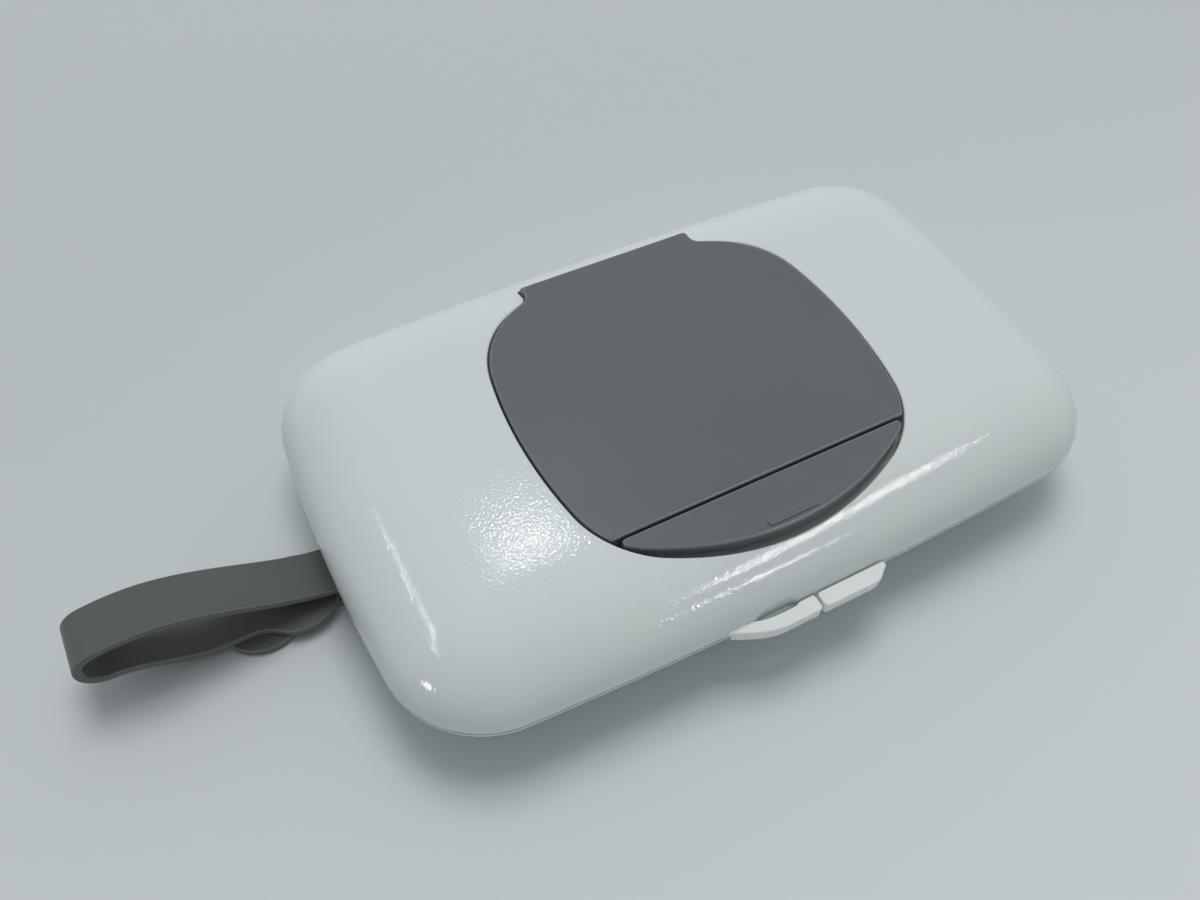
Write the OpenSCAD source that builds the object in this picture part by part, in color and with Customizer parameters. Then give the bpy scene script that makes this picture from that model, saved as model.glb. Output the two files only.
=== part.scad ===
// Travel wipes case: a pillow-shaped clamshell with a flip lid, a latch button and a wrist strap.
// X runs along the case, -Y is the front with the pull tabs, +Z is up and the base stands on Z = 0.

/* [Case] */
// Length of the case over its bowed ends
case_l = 203; // [190:1:220]
// Width of the case over its bowed sides
case_w = 122; // [116:1:134]
// Corner radius of the case outline
corner_r = 25.6; // [25.4:0.1:28]
// How far each long side bows out
side_bow = 3.3; // [2:0.1:5]
// How far each short end bows out
end_bow = 4.8; // [3:0.1:6]
// Height of the base below the parting line
base_h = 20; // [19:0.5:24]
// Height of the cover above the parting line
cover_h = 15.4; // [15:0.1:18]
// Distance over which the shells roll in from the rim
roll = 25; // [22:0.1:25]
// Radius of the base's belly
belly_r = 40; // [36:1:60]
// Straight lip under the parting line
lip_h = 1.2; // [0.8:0.1:1.6]
// Wall thickness of both shells
wall = 2; // [1.8:0.1:2.2]

/* [Rim seal] */
// Thickness of the base's upstanding tongue
tongue_t = 1.6; // [1.2:0.1:1.8]
// Height of the tongue above the parting line
tongue_h = 1.5; // [1.2:0.1:1.8]
// Height of the silicone seal ring
seal_h = 1.2; // [1:0.1:1.4]
// Thickness of the shoulder that carries the seal ring
shoulder_t = 1.2; // [1:0.1:1.4]

/* [Case hinge] */
// Distance of each hinge from the middle
hinge_x = 40; // [34:1:46]
// Distance of the hinge axis behind the rim
hinge_out = 0.4; // [0.3:0.1:0.8]
// Depth of the hinge axis below the parting line
hinge_drop = 2.6; // [2.4:0.1:2.8]
// Radius of a hinge knuckle
knuckle_r = 2; // [1.8:0.1:2.2]
// Length of a base knuckle
base_knuckle = 5; // [4:0.5:7]
// Length of a cover knuckle
cover_knuckle = 9; // [7:0.5:12]
// Radius of a case hinge pin
case_pin_r = 0.9; // [0.7:0.1:1.1]

/* [Lid well] */
// Length of the lid well along the case
well_l = 98.4; // [92:0.2:102]
// Width of the lid well across the case
well_w = 99.6; // [96:0.2:101]
// Corner radius of the lid well
well_r = 27; // [24:0.5:30]
// Bow of the well's front and back
well_bow_y = 19; // [16:0.5:21]
// Bow of the well's two sides
well_bow_x = 10.5; // [8:0.5:12]
// Shift of the well towards the front
well_shift = 0.4; // [0:0.1:1]
// Depth of the well floor below the crown of the cover
well_depth = 6.4; // [6.2:0.1:7]
// Thickness of the well's floor and wall
pan_t = 2; // [1.6:0.1:2.2]

/* [Flip lid] */
// Height of the lid's top above the crown of the cover
lid_proud = 0.4; // [0:0.1:0.8]
// Gap between the lid and the well
lid_gap = 0.5; // [0.4:0.1:0.8]
// Thickness of the lid's plate
lid_t = 1.8; // [1.6:0.1:2.2]
// Depth of the lid's side wall
lid_skirt = 3.2; // [2.8:0.1:3.4]
// Thickness of the lid's side wall
skirt_t = 1.6; // [1.2:0.1:2]
// Rounding of the top edges of lid and button
edge_r = 1.3; // [0.8:0.1:1.5]
// Width of the lid at its hinge
barrel_l = 52.4; // [46:0.2:56]
// Radius of the lid's hinge barrel
barrel_r = 3.35; // [3.2:0.05:3.4]
// Distance of the lid's hinge axis from the middle
lid_axis_y = 46.5; // [46:0.1:46.8]
// Radius of the lid's hinge pin
lid_pin_r = 1; // [0.8:0.1:1.1]
// Clearance round the hinge barrel
barrel_gap = 0.35; // [0.3:0.05:0.45]
// Length of the lid spring
lid_spring_l = 13; // [10:0.5:16]
// Wire diameter of both springs
wire_d = 0.6; // [0.5:0.05:0.7]

/* [Dispensing opening] */
// Half length of the opening's straight sides
slot_run = 15; // [12:0.5:18]
// Radius of the opening's round ends
slot_r = 20; // [17:0.5:21]
// Shift of the opening towards the back
slot_y = 3; // [0:0.5:4]
// Width of the soft insert's mouth
mouth_w = 16; // [12:0.5:20]
// Thickness of the soft insert's flange
flange_t = 1; // [0.8:0.1:1.2]
// Width of the soft insert's flange beyond the opening
flange_w = 1.8; // [1.4:0.1:2]
// Height of the collar round the opening
collar_h = 2.1; // [1.8:0.1:2.2]
// Thickness of the collar
collar_t = 1.6; // [1.2:0.1:2]
// Height of the lid's gasket
gasket_h = 0.9; // [0.8:0.1:1]

/* [Latch button] */
// Distance of the split between lid and button from the middle
split_y = 34.1; // [33:0.1:35]
// Width of the split
split_gap = 0.6; // [0.5:0.1:0.8]
// Extra gap in front of the button
button_gap = 1.2; // [1:0.1:1.5]
// Distance of the button's pivot from the middle
pivot_y = 36.4; // [36.2:0.1:36.8]
// Height of the button's pivot above the well floor
pivot_h = 2.2; // [2.1:0.1:2.4]
// Radius of the button's pivot pin
pivot_r = 0.8; // [0.6:0.1:0.9]
// Distance of each pivot ear from the middle
ear_x = 19; // [16:0.5:22]
// Thickness of a pivot ear or lug
ear_t = 3; // [2.5:0.1:3.5]
// Radius of a pivot ear or lug
ear_r = 2; // [1.8:0.1:2]
// Length of the thumb bar
thumb_l = 14; // [10:0.5:20]
// Width of the thumb bar
thumb_w = 1.6; // [1.2:0.1:2]
// Height of the thumb bar
thumb_h = 0.5; // [0.3:0.1:0.8]
// Depth of the button's front wall
button_skirt = 3.6; // [3.2:0.1:3.8]
// Mean radius of the button spring
spring_r = 2; // [1.6:0.1:2.4]

/* [Pull tabs] */
// Place of the slit between the two tabs
tab_split = -0.6; // [-4:0.2:2]
// Width of the slit between the two tabs
tab_slit = 0.8; // [0.6:0.1:1.2]
// Length of the hooked tab of the cover
hook_l = 22; // [20:0.5:26]
// Length of the block tab of the base
block_l = 22; // [18:0.5:26]
// How far the tabs stand out from the rim
tab_out = 4.5; // [4.2:0.1:6]
// Thickness of the tabs
tab_t = 3.6; // [3:0.1:4]
// Height of the tabs' top above the parting line
tab_rise = 1.6; // [1.2:0.1:2]
// Width of the bar of the hooked tab
arm_w = 3.6; // [2.8:0.1:3.8]
// Length of the head of the hooked tab
head_l = 5; // [4:0.2:6]
// Depth of the finger relief in the cover's wall
relief_d = 1.5; // [0.8:0.1:1.6]
// Height of the finger relief in the cover's wall
relief_h = 5; // [3:0.5:6]

/* [Base window] */
// Length of the window pane
pane_l = 90; // [70:1:100]
// Width of the window pane
pane_w = 38; // [30:1:44]
// Corner radius of the window pane
pane_r = 9; // [5:0.5:12]
// Thickness of the window pane
pane_t = 1.2; // [1:0.1:1.3]
// Ledge under the edge of the pane
pane_ledge = 3; // [2:0.2:4]

/* [Strap] */
// Width of the strap
strap_w = 13; // [10:0.5:14]
// Thickness of the strap
strap_t = 2.2; // [1.8:0.1:2.4]
// Shift of the strap towards the back
strap_y = 4.5; // [0:0.5:6]
// Radius of the round ends of the strap
paddle_r = 11; // [9:0.5:12]
// Radius of the bar that holds the strap
bar_r = 1.7; // [1.4:0.1:1.9]
// Inset of the bar from the end of the case
bar_inset = 14.5; // [14:0.1:15.5]
// Height of the bar above the ground
bar_z = 6.3; // [6.2:0.1:7.2]
// Reach of the tongue beyond the bar
tongue_reach = 44; // [42:0.5:48]
// Reach of the lobe's centre beyond the bar
lobe_reach = 23.5; // [22:0.5:25]
// Reach of the loop's crest beyond the bar
crest_reach = 51; // [48:0.5:56]
// Height of the loop's crest above the ground
crest_h = 23.4; // [20:0.2:26]
// Angle at which the strap sags as it leaves the bar
sag = 20; // [14:1:22]
// Run of the strap from the crest to the end bend
crown_run = 16.5; // [12:0.5:20]
// Lean of the strap where the end bend starts
crown_lean = 12; // [8:1:16]
// Radius of the stem of the strap's stud
stud_r = 1.8; // [1.4:0.1:2.2]
// Radius of the head of the strap's stud
stud_head_r = 3; // [2.6:0.1:4]
// Lift that the strap's pocket leaves free
strap_lift = 15; // [10:1:16]

/* [Hidden] */
$fn = 64;

// Clearances
fit = 0.03;       // running fit of a pin, on the radius
gap = 0.3;        // between pieces that pass each other
seat = 0.1;       // between a seal and what it meets
eps = 0.5;        // how far a cut runs past a face

// Colours
shell_white = [0.93, 0.95, 0.95];
lid_grey = [0.42, 0.44, 0.46];
strap_grey = [0.34, 0.35, 0.35];
steel = [0.7, 0.71, 0.72];
silicone = [0.82, 0.84, 0.84];

// Levels
part_z = base_h;
crown_z = base_h + cover_h;
floor_z = crown_z - well_depth;
top_z = crown_z + lid_proud;
plate_z = top_z - lid_t;

// ---- bowed outlines -----------------------------------------------------------------------

function dir(a) = [cos(a), sin(a)];
function unit(v) = v / norm(v);
function arc_r(half, bow) = (half * half + bow * bow) / (2 * bow);

// Centre of the corner circle that runs into the side and end arcs
function corner_c(ca, qa, cb, qb) =
    let (d = norm(cb - ca), x = (d * d + qa * qa - qb * qb) / (2 * d),
         h = sqrt(qa * qa - x * x), e = unit(cb - ca), n = [-e.y, e.x],
         p = ca + e * x + n * h, q = ca + e * x - n * h)
    p.x + p.y > q.x + q.y ? p : q;

// Stations [centre, radius, angle] of one quarter of a bowed outline, from the end to the side
function quarter(a, b, r, bow_a, bow_b, n) =
    let (ra = arc_r(a, bow_a), rb = arc_r(b, bow_b), ca = [0, b - ra], cb = [a - rb, 0],
         cc = corner_c(ca, ra - r, cb, rb - r),
         ta = atan2(cc.y - ca.y, cc.x - ca.x), tb = atan2(cc.y - cb.y, cc.x - cb.x))
    concat([for (i = [0 : n - 1]) [cb, rb, tb * i / n]],
           [for (i = [0 : 2 * n - 1]) [cc, r, tb + (ta - tb) * i / (2 * n)]],
           [for (i = [0 : n]) [ca, ra, ta + (90 - ta) * i / n]]);

function at(s, inset) = s[0] + (s[1] - inset) * dir(s[2]);

// Points of a whole bowed outline, drawn in by inset
function outline(q, inset) =
    let (p = [for (s = q) at(s, inset)], m = len(p))
    concat(p, [for (i = [m - 2 : -1 : 0]) [-p[i].x, p[i].y]],
           [for (i = [1 : m - 1]) [-p[i].x, -p[i].y]],
           [for (i = [m - 2 : -1 : 1]) [p[i].x, -p[i].y]]);

case_q = quarter(case_l / 2, case_w / 2, corner_r, side_bow, end_bow, 5);
well_q = quarter(well_l / 2, well_w / 2, well_r, well_bow_y, well_bow_x, 5);
button_q = quarter(well_l / 2, well_w / 2 - button_gap, well_r - button_gap,
    well_bow_y - button_gap * 0.6, well_bow_x, 5);

// Skins a stack of rings [inset, height] of a bowed outline, given from the bottom up
module stack(q, rings) {
    loops = [for (k = rings) [for (p = outline(q, k[0])) [p.x, p.y, k[1]]]];
    n = len(loops[0]);
    m = len(loops);
    points = [for (l = loops) each l];
    sides = [for (k = [0 : m - 2], i = [0 : n - 1])
        let (j = (i + 1) % n) [k * n + i, k * n + n + i, k * n + n + j, k * n + j]];
    base = [for (i = [0 : n - 1]) i];
    lid = [for (i = [n - 1 : -1 : 0]) (m - 1) * n + i];
    polyhedron(points, concat([base, lid], sides));
}

// ---- shell forms ----------------------------------------------------------------------------

// Elliptical roll of the cover, drawn in by t along its normal
function cover_ring(u, t) =
    let (n = unit([cos(u) / roll, sin(u) / cover_h]))
    [roll * (1 - cos(u)) + t * n.x, part_z + cover_h * sin(u) - t * n.y];
cover_steps = [0, 9, 18, 28, 38, 48, 58, 68, 79, 90];

module cover_form(t) {
    rings = [for (u = cover_steps) cover_ring(u, t)];
    stack(case_q, t > 0 ? concat([[t, part_z - eps]], rings) : rings);
}

// Belly of the base: an arc from the lip down to the flat foot
lip_z = part_z - lip_h;
belly_chord = norm([roll, lip_z]);
belly_c = [roll, lip_z] / 2
    + sqrt(belly_r ^ 2 - belly_chord ^ 2 / 4) * [lip_z, roll] / belly_chord;
belly_a0 = atan2(-belly_c.y, roll - belly_c.x);
belly_a1 = atan2(lip_z - belly_c.y, -belly_c.x);
function belly_ring(f, t) = belly_c + (belly_r - t) * dir(belly_a0 + (belly_a1 - belly_a0) * f);
belly_steps = [0, 0.16, 0.34, 0.52, 0.7, 0.86];
function belly_inset(z) = belly_c.x - sqrt(belly_r ^ 2 - (belly_c.y - z) ^ 2);

module base_form(t) {
    rings = [for (f = belly_steps) belly_ring(f, t)];
    low = [[rings[0].x, t > 0 ? rings[0].y : 0]];
    rest = [for (i = [1 : len(rings) - 1]) rings[i]];
    stack(case_q, concat(low, rest, [[t, lip_z], [t, part_z + (t > 0 ? eps : 0)]]));
}

// Ring that follows the case outline between two insets
module rim_ring(outer, inner, z, h) {
    translate([0, 0, z]) linear_extrude(h) difference() {
        polygon(outline(case_q, outer));
        polygon(outline(case_q, inner));
    }
}

tongue_in = wall + gap + 0.3;
tongue_back = tongue_in + tongue_t;
seal_z = part_z + tongue_h + seat;
shoulder_z = seal_z + seal_h;
seal_out = tongue_in + seat;

// ---- case hinge -----------------------------------------------------------------------------

hinge_y = case_w / 2 + hinge_out;
hinge_z = part_z - hinge_drop;
hinge_reach = cover_knuckle / 2 + gap + base_knuckle;
rim_at_hinge = case_w / 2 - (hinge_x + hinge_reach) ^ 2 / (2 * arc_r(case_l / 2, side_bow));

module x_rod(r, l, x, y, z, n = 48) {
    translate([x - l / 2, y, z]) rotate([0, 90, 0]) cylinder(r = r, h = l, $fn = n);
}

module base_knuckles() {
    for (s = [-1, 1], e = [-1, 1]) {
        x = s * hinge_x + e * (cover_knuckle / 2 + gap + base_knuckle / 2);
        x_rod(knuckle_r, base_knuckle, x, hinge_y, hinge_z);
        translate([x - base_knuckle / 2, rim_at_hinge - wall / 2, hinge_z - knuckle_r * 0.7])
            cube([base_knuckle, hinge_y - rim_at_hinge + wall / 2, knuckle_r * 1.2]);
    }
}

module cover_knuckles() {
    arm_top = part_z + 1;
    arm_t = 1.6;
    arm_y = case_w / 2 - (hinge_x - cover_knuckle / 2) ^ 2 / (2 * arc_r(case_l / 2, side_bow)) + gap;
    for (s = [-1, 1]) {
        x_rod(knuckle_r, cover_knuckle, s * hinge_x, hinge_y, hinge_z);
        translate([s * hinge_x - cover_knuckle / 2, arm_y, hinge_z])
            cube([cover_knuckle, arm_t, arm_top - hinge_z]);
        translate([s * hinge_x - cover_knuckle / 2, rim_at_hinge - wall / 2, part_z])
            cube([cover_knuckle, arm_y - rim_at_hinge + wall / 2 + arm_t, arm_top - part_z]);
    }
}

// ---- pull tabs ------------------------------------------------------------------------------

tab_z = part_z + tab_rise - tab_t;
tab_face = -case_w / 2 - tab_out;
tab_back = -case_w / 2 - gap;
tab_round = 1.2;

// Curve from a through the pulls b and c to d
function curve(a, b, c, d, n) = [for (i = [0 : n]) let (t = i / n, u = 1 - t)
    u ^ 3 * a + 3 * u * u * t * b + 3 * u * t * t * c + t ^ 3 * d];

module slab(z, h) {
    translate([0, 0, z]) linear_extrude(h) children();
}

// Block tab of the base, with a slanted outer end
module base_tab() {
    x0 = tab_split + tab_slit / 2;
    x1 = tab_split + block_l;
    slab(tab_z, tab_t) polygon(concat([[x0, tab_back], [x1, tab_back]],
        curve([x1, tab_back - 0.4], [x1 - 1.5, tab_face + 1.6], [x1 - 3.5, tab_face + 0.4],
            [x1 - 8, tab_face], 8),
        curve([x0 + tab_round, tab_face], [x0 + tab_round / 2, tab_face],
            [x0, tab_face + tab_round / 2], [x0, tab_face + tab_round], 4)));
    slab(tab_z, part_z - tab_z - seat) translate([x0, tab_back - 1])
        square([x1 - x0 - 1, 1 + wall * 0.6 + gap]);
}

// Outline of the hooked bar from its root to its free head
function hook_plan(x0, root, n) =
    let (x1 = tab_split - tab_slit / 2, inner = tab_face + arm_w)
    concat(curve(root, [x0 + 2, tab_face + 2.6], [x0 + 6, tab_face], [x0 + 12, tab_face], n),
        curve([x1 - tab_round, tab_face], [x1 - tab_round / 2, tab_face],
            [x1, tab_face + tab_round / 2], [x1, tab_face + tab_round], 4),
        [[x1, tab_back], [x1 - head_l, tab_back], [x1 - head_l, inner]],
        curve([x0 + 12, inner], [x0 + 9, inner], [x0 + 6.5, inner + 0.3], [x0 + 5, tab_back], 6));

// Hooked bar of the cover: it flows out of the cover's side above the parting line
module cover_tab() {
    x0 = tab_split - hook_l;
    inside = -case_w / 2 + wall * 0.6;
    module bar() {
        polygon(concat([[x0 - 2.5, inside]], hook_plan(x0, [x0 - 2.5, -case_w / 2 + 0.1], 12),
            [[x0 + 4.4, -case_w / 2], [x0 + 4.2, inside]]));
    }
    slab(part_z, tab_rise) bar();
    slab(tab_z, part_z - tab_z) intersection() {
        bar();
        translate([x0 - 3, tab_face - 1]) square([hook_l + 4, tab_back - tab_face + 1]);
    }
}

// Finger relief in the cover's wall behind the hooked bar
module tab_relief() {
    x0 = tab_split - hook_l + 4.4;
    x1 = tab_split - tab_slit / 2 - head_l + 0.6;
    y0 = tab_back - 1;
    y1 = -case_w / 2 + relief_d;
    slab(part_z - eps, relief_h + eps) polygon(concat([[x0, y0]],
        curve([x0 + 0.3, tab_back], [x0 + 1.5, y1], [x0 + 3, y1], [x0 + 6, y1], 6),
        curve([x1 - 3, y1], [x1 - 1.5, y1], [x1, y1 - 0.5], [x1, tab_back], 4), [[x1, y0]]));
}

// ---- strap pocket ---------------------------------------------------------------------------

bar_x = -case_l / 2 + bar_inset;
bar_slack = 0.15;
bar_room = bar_r + bar_slack + strap_t + gap;
pocket_w = strap_w + 2 * 1.5;

// Side view of the pocket: round behind the bar, open below, with a roof that rises outwards
module pocket_side(t) {
    r = bar_room + t;
    far = bar_inset + 12;
    circle(r = r);
    translate([-far, -bar_z - 2 - t]) square([far + r, bar_z + 2 + t]);
    polygon([[0, 0], r * dir(90 - strap_lift), r * dir(90 - strap_lift / 2), [0, r],
        [-far, r + far * tan(strap_lift)], [-far, 0]]);
}

module pocket(w, t) {
    translate([bar_x, strap_y + w / 2, bar_z]) rotate([90, 0, 0]) linear_extrude(w) pocket_side(t);
}

// ---- base -----------------------------------------------------------------------------------

module rounded(l, w, r, h) {
    linear_extrude(h) {
        square([l - 2 * r, w], center = true);
        square([l, w - 2 * r], center = true);
        for (x = [-1, 1], y = [-1, 1]) translate([x * (l / 2 - r), y * (w / 2 - r)]) circle(r = r);
    }
}

module bottom_shell() {
    color(shell_white) difference() {
        union() {
            difference() {
                base_form(0);
                difference() {
                    base_form(wall);
                    pocket(pocket_w + wall * 1.6, wall * 0.8);
                }
            }
            rim_ring(tongue_in, tongue_back, part_z - 1, 1 + tongue_h);
            rim_ring(wall / 2, tongue_back, part_z - 2, 2);
            base_knuckles();
            base_tab();
        }
        difference() {
            pocket(pocket_w, 0);
            translate([bar_x, strap_y, bar_z]) rotate([90, 0, 0])
                cylinder(r = bar_r, h = pocket_w + 2, center = true, $fn = 48);
        }
        for (s = [-1, 1]) {
            x_rod(case_pin_r + fit, 2 * hinge_reach + 1, s * hinge_x, hinge_y, hinge_z);
            x_rod(knuckle_r + gap, cover_knuckle + 2 * gap, s * hinge_x, hinge_y, hinge_z);
        }
        translate([0, 0, -1]) rounded(pane_l + gap, pane_w + gap, pane_r, 1 + pane_t);
        translate([0, 0, -1]) rounded(pane_l - 2 * pane_ledge, pane_w - 2 * pane_ledge,
            pane_r - pane_ledge, 5);
    }
}

module base_window() {
    color([0.85, 0.9, 0.92, 0.5]) rounded(pane_l, pane_w, pane_r, pane_t);
}

module case_seal() {
    color(silicone) rim_ring(seal_out, tongue_back, seal_z, seal_h);
}

module hinge_pin(s) {
    color(steel) x_rod(case_pin_r, 2 * hinge_reach, s * hinge_x, hinge_y, hinge_z);
}
module hinge_pin_left() { hinge_pin(-1); }
module hinge_pin_right() { hinge_pin(1); }

// ---- cover ----------------------------------------------------------------------------------

lid_axis_z = top_z - barrel_r - 0.05;
hinge_w = barrel_l + 2 * gap;
trough_y = lid_axis_y + barrel_r + barrel_gap;
shoulder_w = 4;
bay_round = 3;

// Plan of the lid well with its hinge bay, drawn in by inset
module well_plan(inset) {
    offset(r = -bay_round) offset(delta = bay_round) {
        translate([0, -well_shift]) polygon(outline(well_q, inset));
        translate([-hinge_w / 2 + inset, 20]) square([hinge_w - 2 * inset, trough_y - 20 - inset]);
    }
}

// Slot with round ends
module slot_plan(r) {
    translate([0, slot_y]) {
        square([2 * slot_run, 2 * r], center = true);
        for (x = [-1, 1]) translate([x * slot_run, 0]) circle(r = r, $fn = 64);
    }
}

collar_in = slot_r + flange_w + gap + 0.3;
pivot_z = floor_z + pivot_h;

module pivot_ears() {
    for (s = [-1, 1]) {
        x_rod(ear_r, ear_t, s * ear_x, -pivot_y, pivot_z, 40);
        translate([s * ear_x - ear_t / 2, -pivot_y - ear_r, floor_z - 0.2])
            cube([ear_t, 2 * ear_r, pivot_h + 0.2]);
    }
}

module top_shell() {
    color(shell_white) difference() {
        union() {
            difference() {
                cover_form(0);
                difference() {
                    cover_form(wall);
                    translate([0, 0, floor_z - pan_t]) linear_extrude(20) well_plan(-pan_t);
                    translate([-hinge_w / 2 - shoulder_w, lid_axis_y - 5, floor_z - pan_t])
                        cube([hinge_w + 2 * shoulder_w, trough_y + pan_t - lid_axis_y + 5, 20]);
                }
                translate([0, 0, floor_z]) linear_extrude(20) well_plan(0);
                x_rod(barrel_r + barrel_gap, hinge_w, 0, lid_axis_y, lid_axis_z, 64);
            }
            translate([0, 0, floor_z - 0.2]) linear_extrude(collar_h + 0.2) difference() {
                slot_plan(collar_in + collar_t);
                slot_plan(collar_in);
            }
            pivot_ears();
            rim_ring(wall * 0.6, tongue_back + 0.2, shoulder_z, shoulder_t);
            cover_knuckles();
            cover_tab();
        }
        translate([0, 0, floor_z - pan_t - 1]) linear_extrude(pan_t + 2) slot_plan(slot_r);
        x_rod(lid_pin_r + fit, hinge_w + 2 * shoulder_w - 2, 0, lid_axis_y, lid_axis_z);
        x_rod(pivot_r + fit, 2 * ear_x + ear_t + 1, 0, -pivot_y, pivot_z);
        for (s = [-1, 1])
            x_rod(case_pin_r + 2 * fit, cover_knuckle + 1, s * hinge_x, hinge_y, hinge_z);
        tab_relief();
    }
}

module dispensing_insert() {
    color(silicone) difference() {
        translate([0, 0, floor_z - pan_t]) linear_extrude(pan_t + flange_t) slot_plan(slot_r - gap);
        translate([0, 0, floor_z - pan_t - 1]) linear_extrude(pan_t + flange_t + 2) slot_plan(mouth_w / 2);
        translate([0, 0, floor_z - pan_t - 1]) linear_extrude(pan_t + 1) slot_plan(slot_r - gap - 1.6);
    }
    color(silicone) translate([0, 0, floor_z]) linear_extrude(flange_t) difference() {
        slot_plan(slot_r + flange_w);
        slot_plan(slot_r - gap - 0.5);
    }
}

lid_pin_l = hinge_w + 2 * shoulder_w - 3;

module lid_pin() {
    color(steel) x_rod(lid_pin_r, lid_pin_l, 0, lid_axis_y, lid_axis_z);
}

// Tube swept along a helix round Z, with flat ends
module coil(r, wire, pitch, turns, sides, steps) {
    n = round(turns * steps);
    lean = atan2(pitch, 360 * r * PI / 180);
    ring = function (i) let (a = i * 360 / steps)
        [for (k = [0 : sides - 1]) let (b = k * 360 / sides, u = wire / 2 * cos(b), v = wire / 2 * sin(b))
            [(r + u) * cos(a) + v * sin(lean) * sin(a), (r + u) * sin(a) - v * sin(lean) * cos(a),
             pitch * a / 360 + v * cos(lean)]];
    points = [for (i = [0 : n]) each ring(i)];
    walls = [for (i = [0 : n - 1], k = [0 : sides - 1])
        let (j = (k + 1) % sides, p = i * sides, q = p + sides)
        each [[p + k, p + j, q + k], [q + k, p + j, q + j]]];
    start_cap = [for (k = [sides - 1 : -1 : 0]) k];
    end_cap = [for (k = [0 : sides - 1]) n * sides + k];
    polyhedron(points, concat([start_cap, end_cap], walls));
}

lid_spring_r = lid_pin_r + 0.35 + wire_d / 2;
lid_spring_turns = 11;

module lid_spring() {
    color(steel) translate([-(lid_spring_l - wire_d) / 2, lid_axis_y, lid_axis_z]) rotate([0, 90, 0])
        coil(lid_spring_r, wire_d, (lid_spring_l - wire_d) / lid_spring_turns, lid_spring_turns, 6, 12);
}

// ---- lid and button -------------------------------------------------------------------------

// Rounded top edge shared by the lid and the button
function edge_rings(inset, low) = concat([[inset, low]],
    [for (a = [0, 30, 60, 90]) [inset + edge_r * (1 - cos(a)), top_z - edge_r * (1 - sin(a))]]);

// Plan of the lid or the button with its split corners rounded
module split_plan(q) {
    offset(r = split_round) offset(delta = -split_round) intersection() {
        translate([0, -well_shift]) polygon(outline(q, lid_gap));
        children();
    }
}

// Side view of everything behind (s = 1) or before (s = -1) a line across the well, with an
// eased top edge along that line
module split_side(y, s) {
    reach = well_w;
    translate([well_l, y, 0]) rotate([90, 0, -90]) linear_extrude(2 * well_l)
        polygon(concat([[0, 0], [-s * reach, 0], [-s * reach, top_z]],
            [for (a = [90, 60, 30, 0]) [-s * edge_r * (1 - cos(a)), top_z - edge_r * (1 - sin(a))]]));
}

split_round = 1.6;
lid_front = split_y - split_gap / 2;
button_back = split_y + split_gap / 2;
liner_r = collar_in + collar_t + 1.2;
gasket_z = floor_z + collar_h + seat;
liner_z = gasket_z + gasket_h;
nose_w = 9;
nose_t = 0.6;
catch_w = nose_w + 1.4;
catch_t = 0.8;
hook_gap = 0.15;

module flip_lid() {
    low = top_z - lid_skirt;
    slot = catch_w + 2 * gap;
    color(lid_grey) difference() {
        union() {
            intersection() {
                difference() {
                    translate([0, -well_shift, 0]) stack(well_q, edge_rings(lid_gap, low));
                    difference() {
                        translate([0, -well_shift, 0]) stack(well_q,
                            [[lid_gap + skirt_t, low - 1], [lid_gap + skirt_t, plate_z]]);
                        translate([-well_l, -lid_front - 1, 0]) cube([2 * well_l, 1 + skirt_t, 60]);
                    }
                }
                split_side(-lid_front, 1);
                linear_extrude(60) split_plan(well_q)
                    translate([-well_l, -lid_front]) square([2 * well_l, 2 * well_w]);
            }
            translate([-barrel_l / 2, lid_axis_y - 12, low]) cube([barrel_l, 12, top_z - low]);
            x_rod(barrel_r, barrel_l, 0, lid_axis_y, lid_axis_z, 64);
        }
        // No side wall beside the hinge, where it would catch on the well
        for (s = [0, 1]) mirror([s, 0, 0]) translate([barrel_l / 2, lid_axis_y - 12, low - 1])
            cube([well_l, 40, plate_z - low + 1]);
        // Room for the catch
        translate([-slot / 2, -lid_front - eps, low - 1])
            cube([slot, skirt_t + 2 * eps, plate_z - low + 1]);
        x_rod(lid_spring_r + wire_d / 2 + 0.2, lid_spring_l + 1, 0, lid_axis_y, lid_axis_z);
        x_rod(lid_pin_r + 2 * fit, barrel_l + 2, 0, lid_axis_y, lid_axis_z);
    }
}

module lid_liner() {
    color(shell_white) {
        translate([0, 0, liner_z]) linear_extrude(plate_z - liner_z) difference() {
            slot_plan(liner_r);
            slot_plan(collar_in - 3);
        }
        translate([0, 0, plate_z - catch_t]) linear_extrude(catch_t) slot_plan(collar_in - 2.5);
        // Catch under the button's nose
        translate([-catch_w / 2, -lid_front, liner_z]) cube([catch_w, lid_front - 20, catch_t]);
        translate([-catch_w / 2, -lid_front + skirt_t / 2, liner_z])
            cube([catch_w, lid_front - 20 - skirt_t / 2, plate_z - liner_z]);
    }
}

module lid_gasket() {
    color(silicone) translate([0, 0, gasket_z]) linear_extrude(gasket_h) difference() {
        slot_plan(collar_in + collar_t + 0.6);
        slot_plan(collar_in - 0.8);
    }
}

button_front = -well_w / 2 - well_shift + button_gap + lid_gap;

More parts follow.
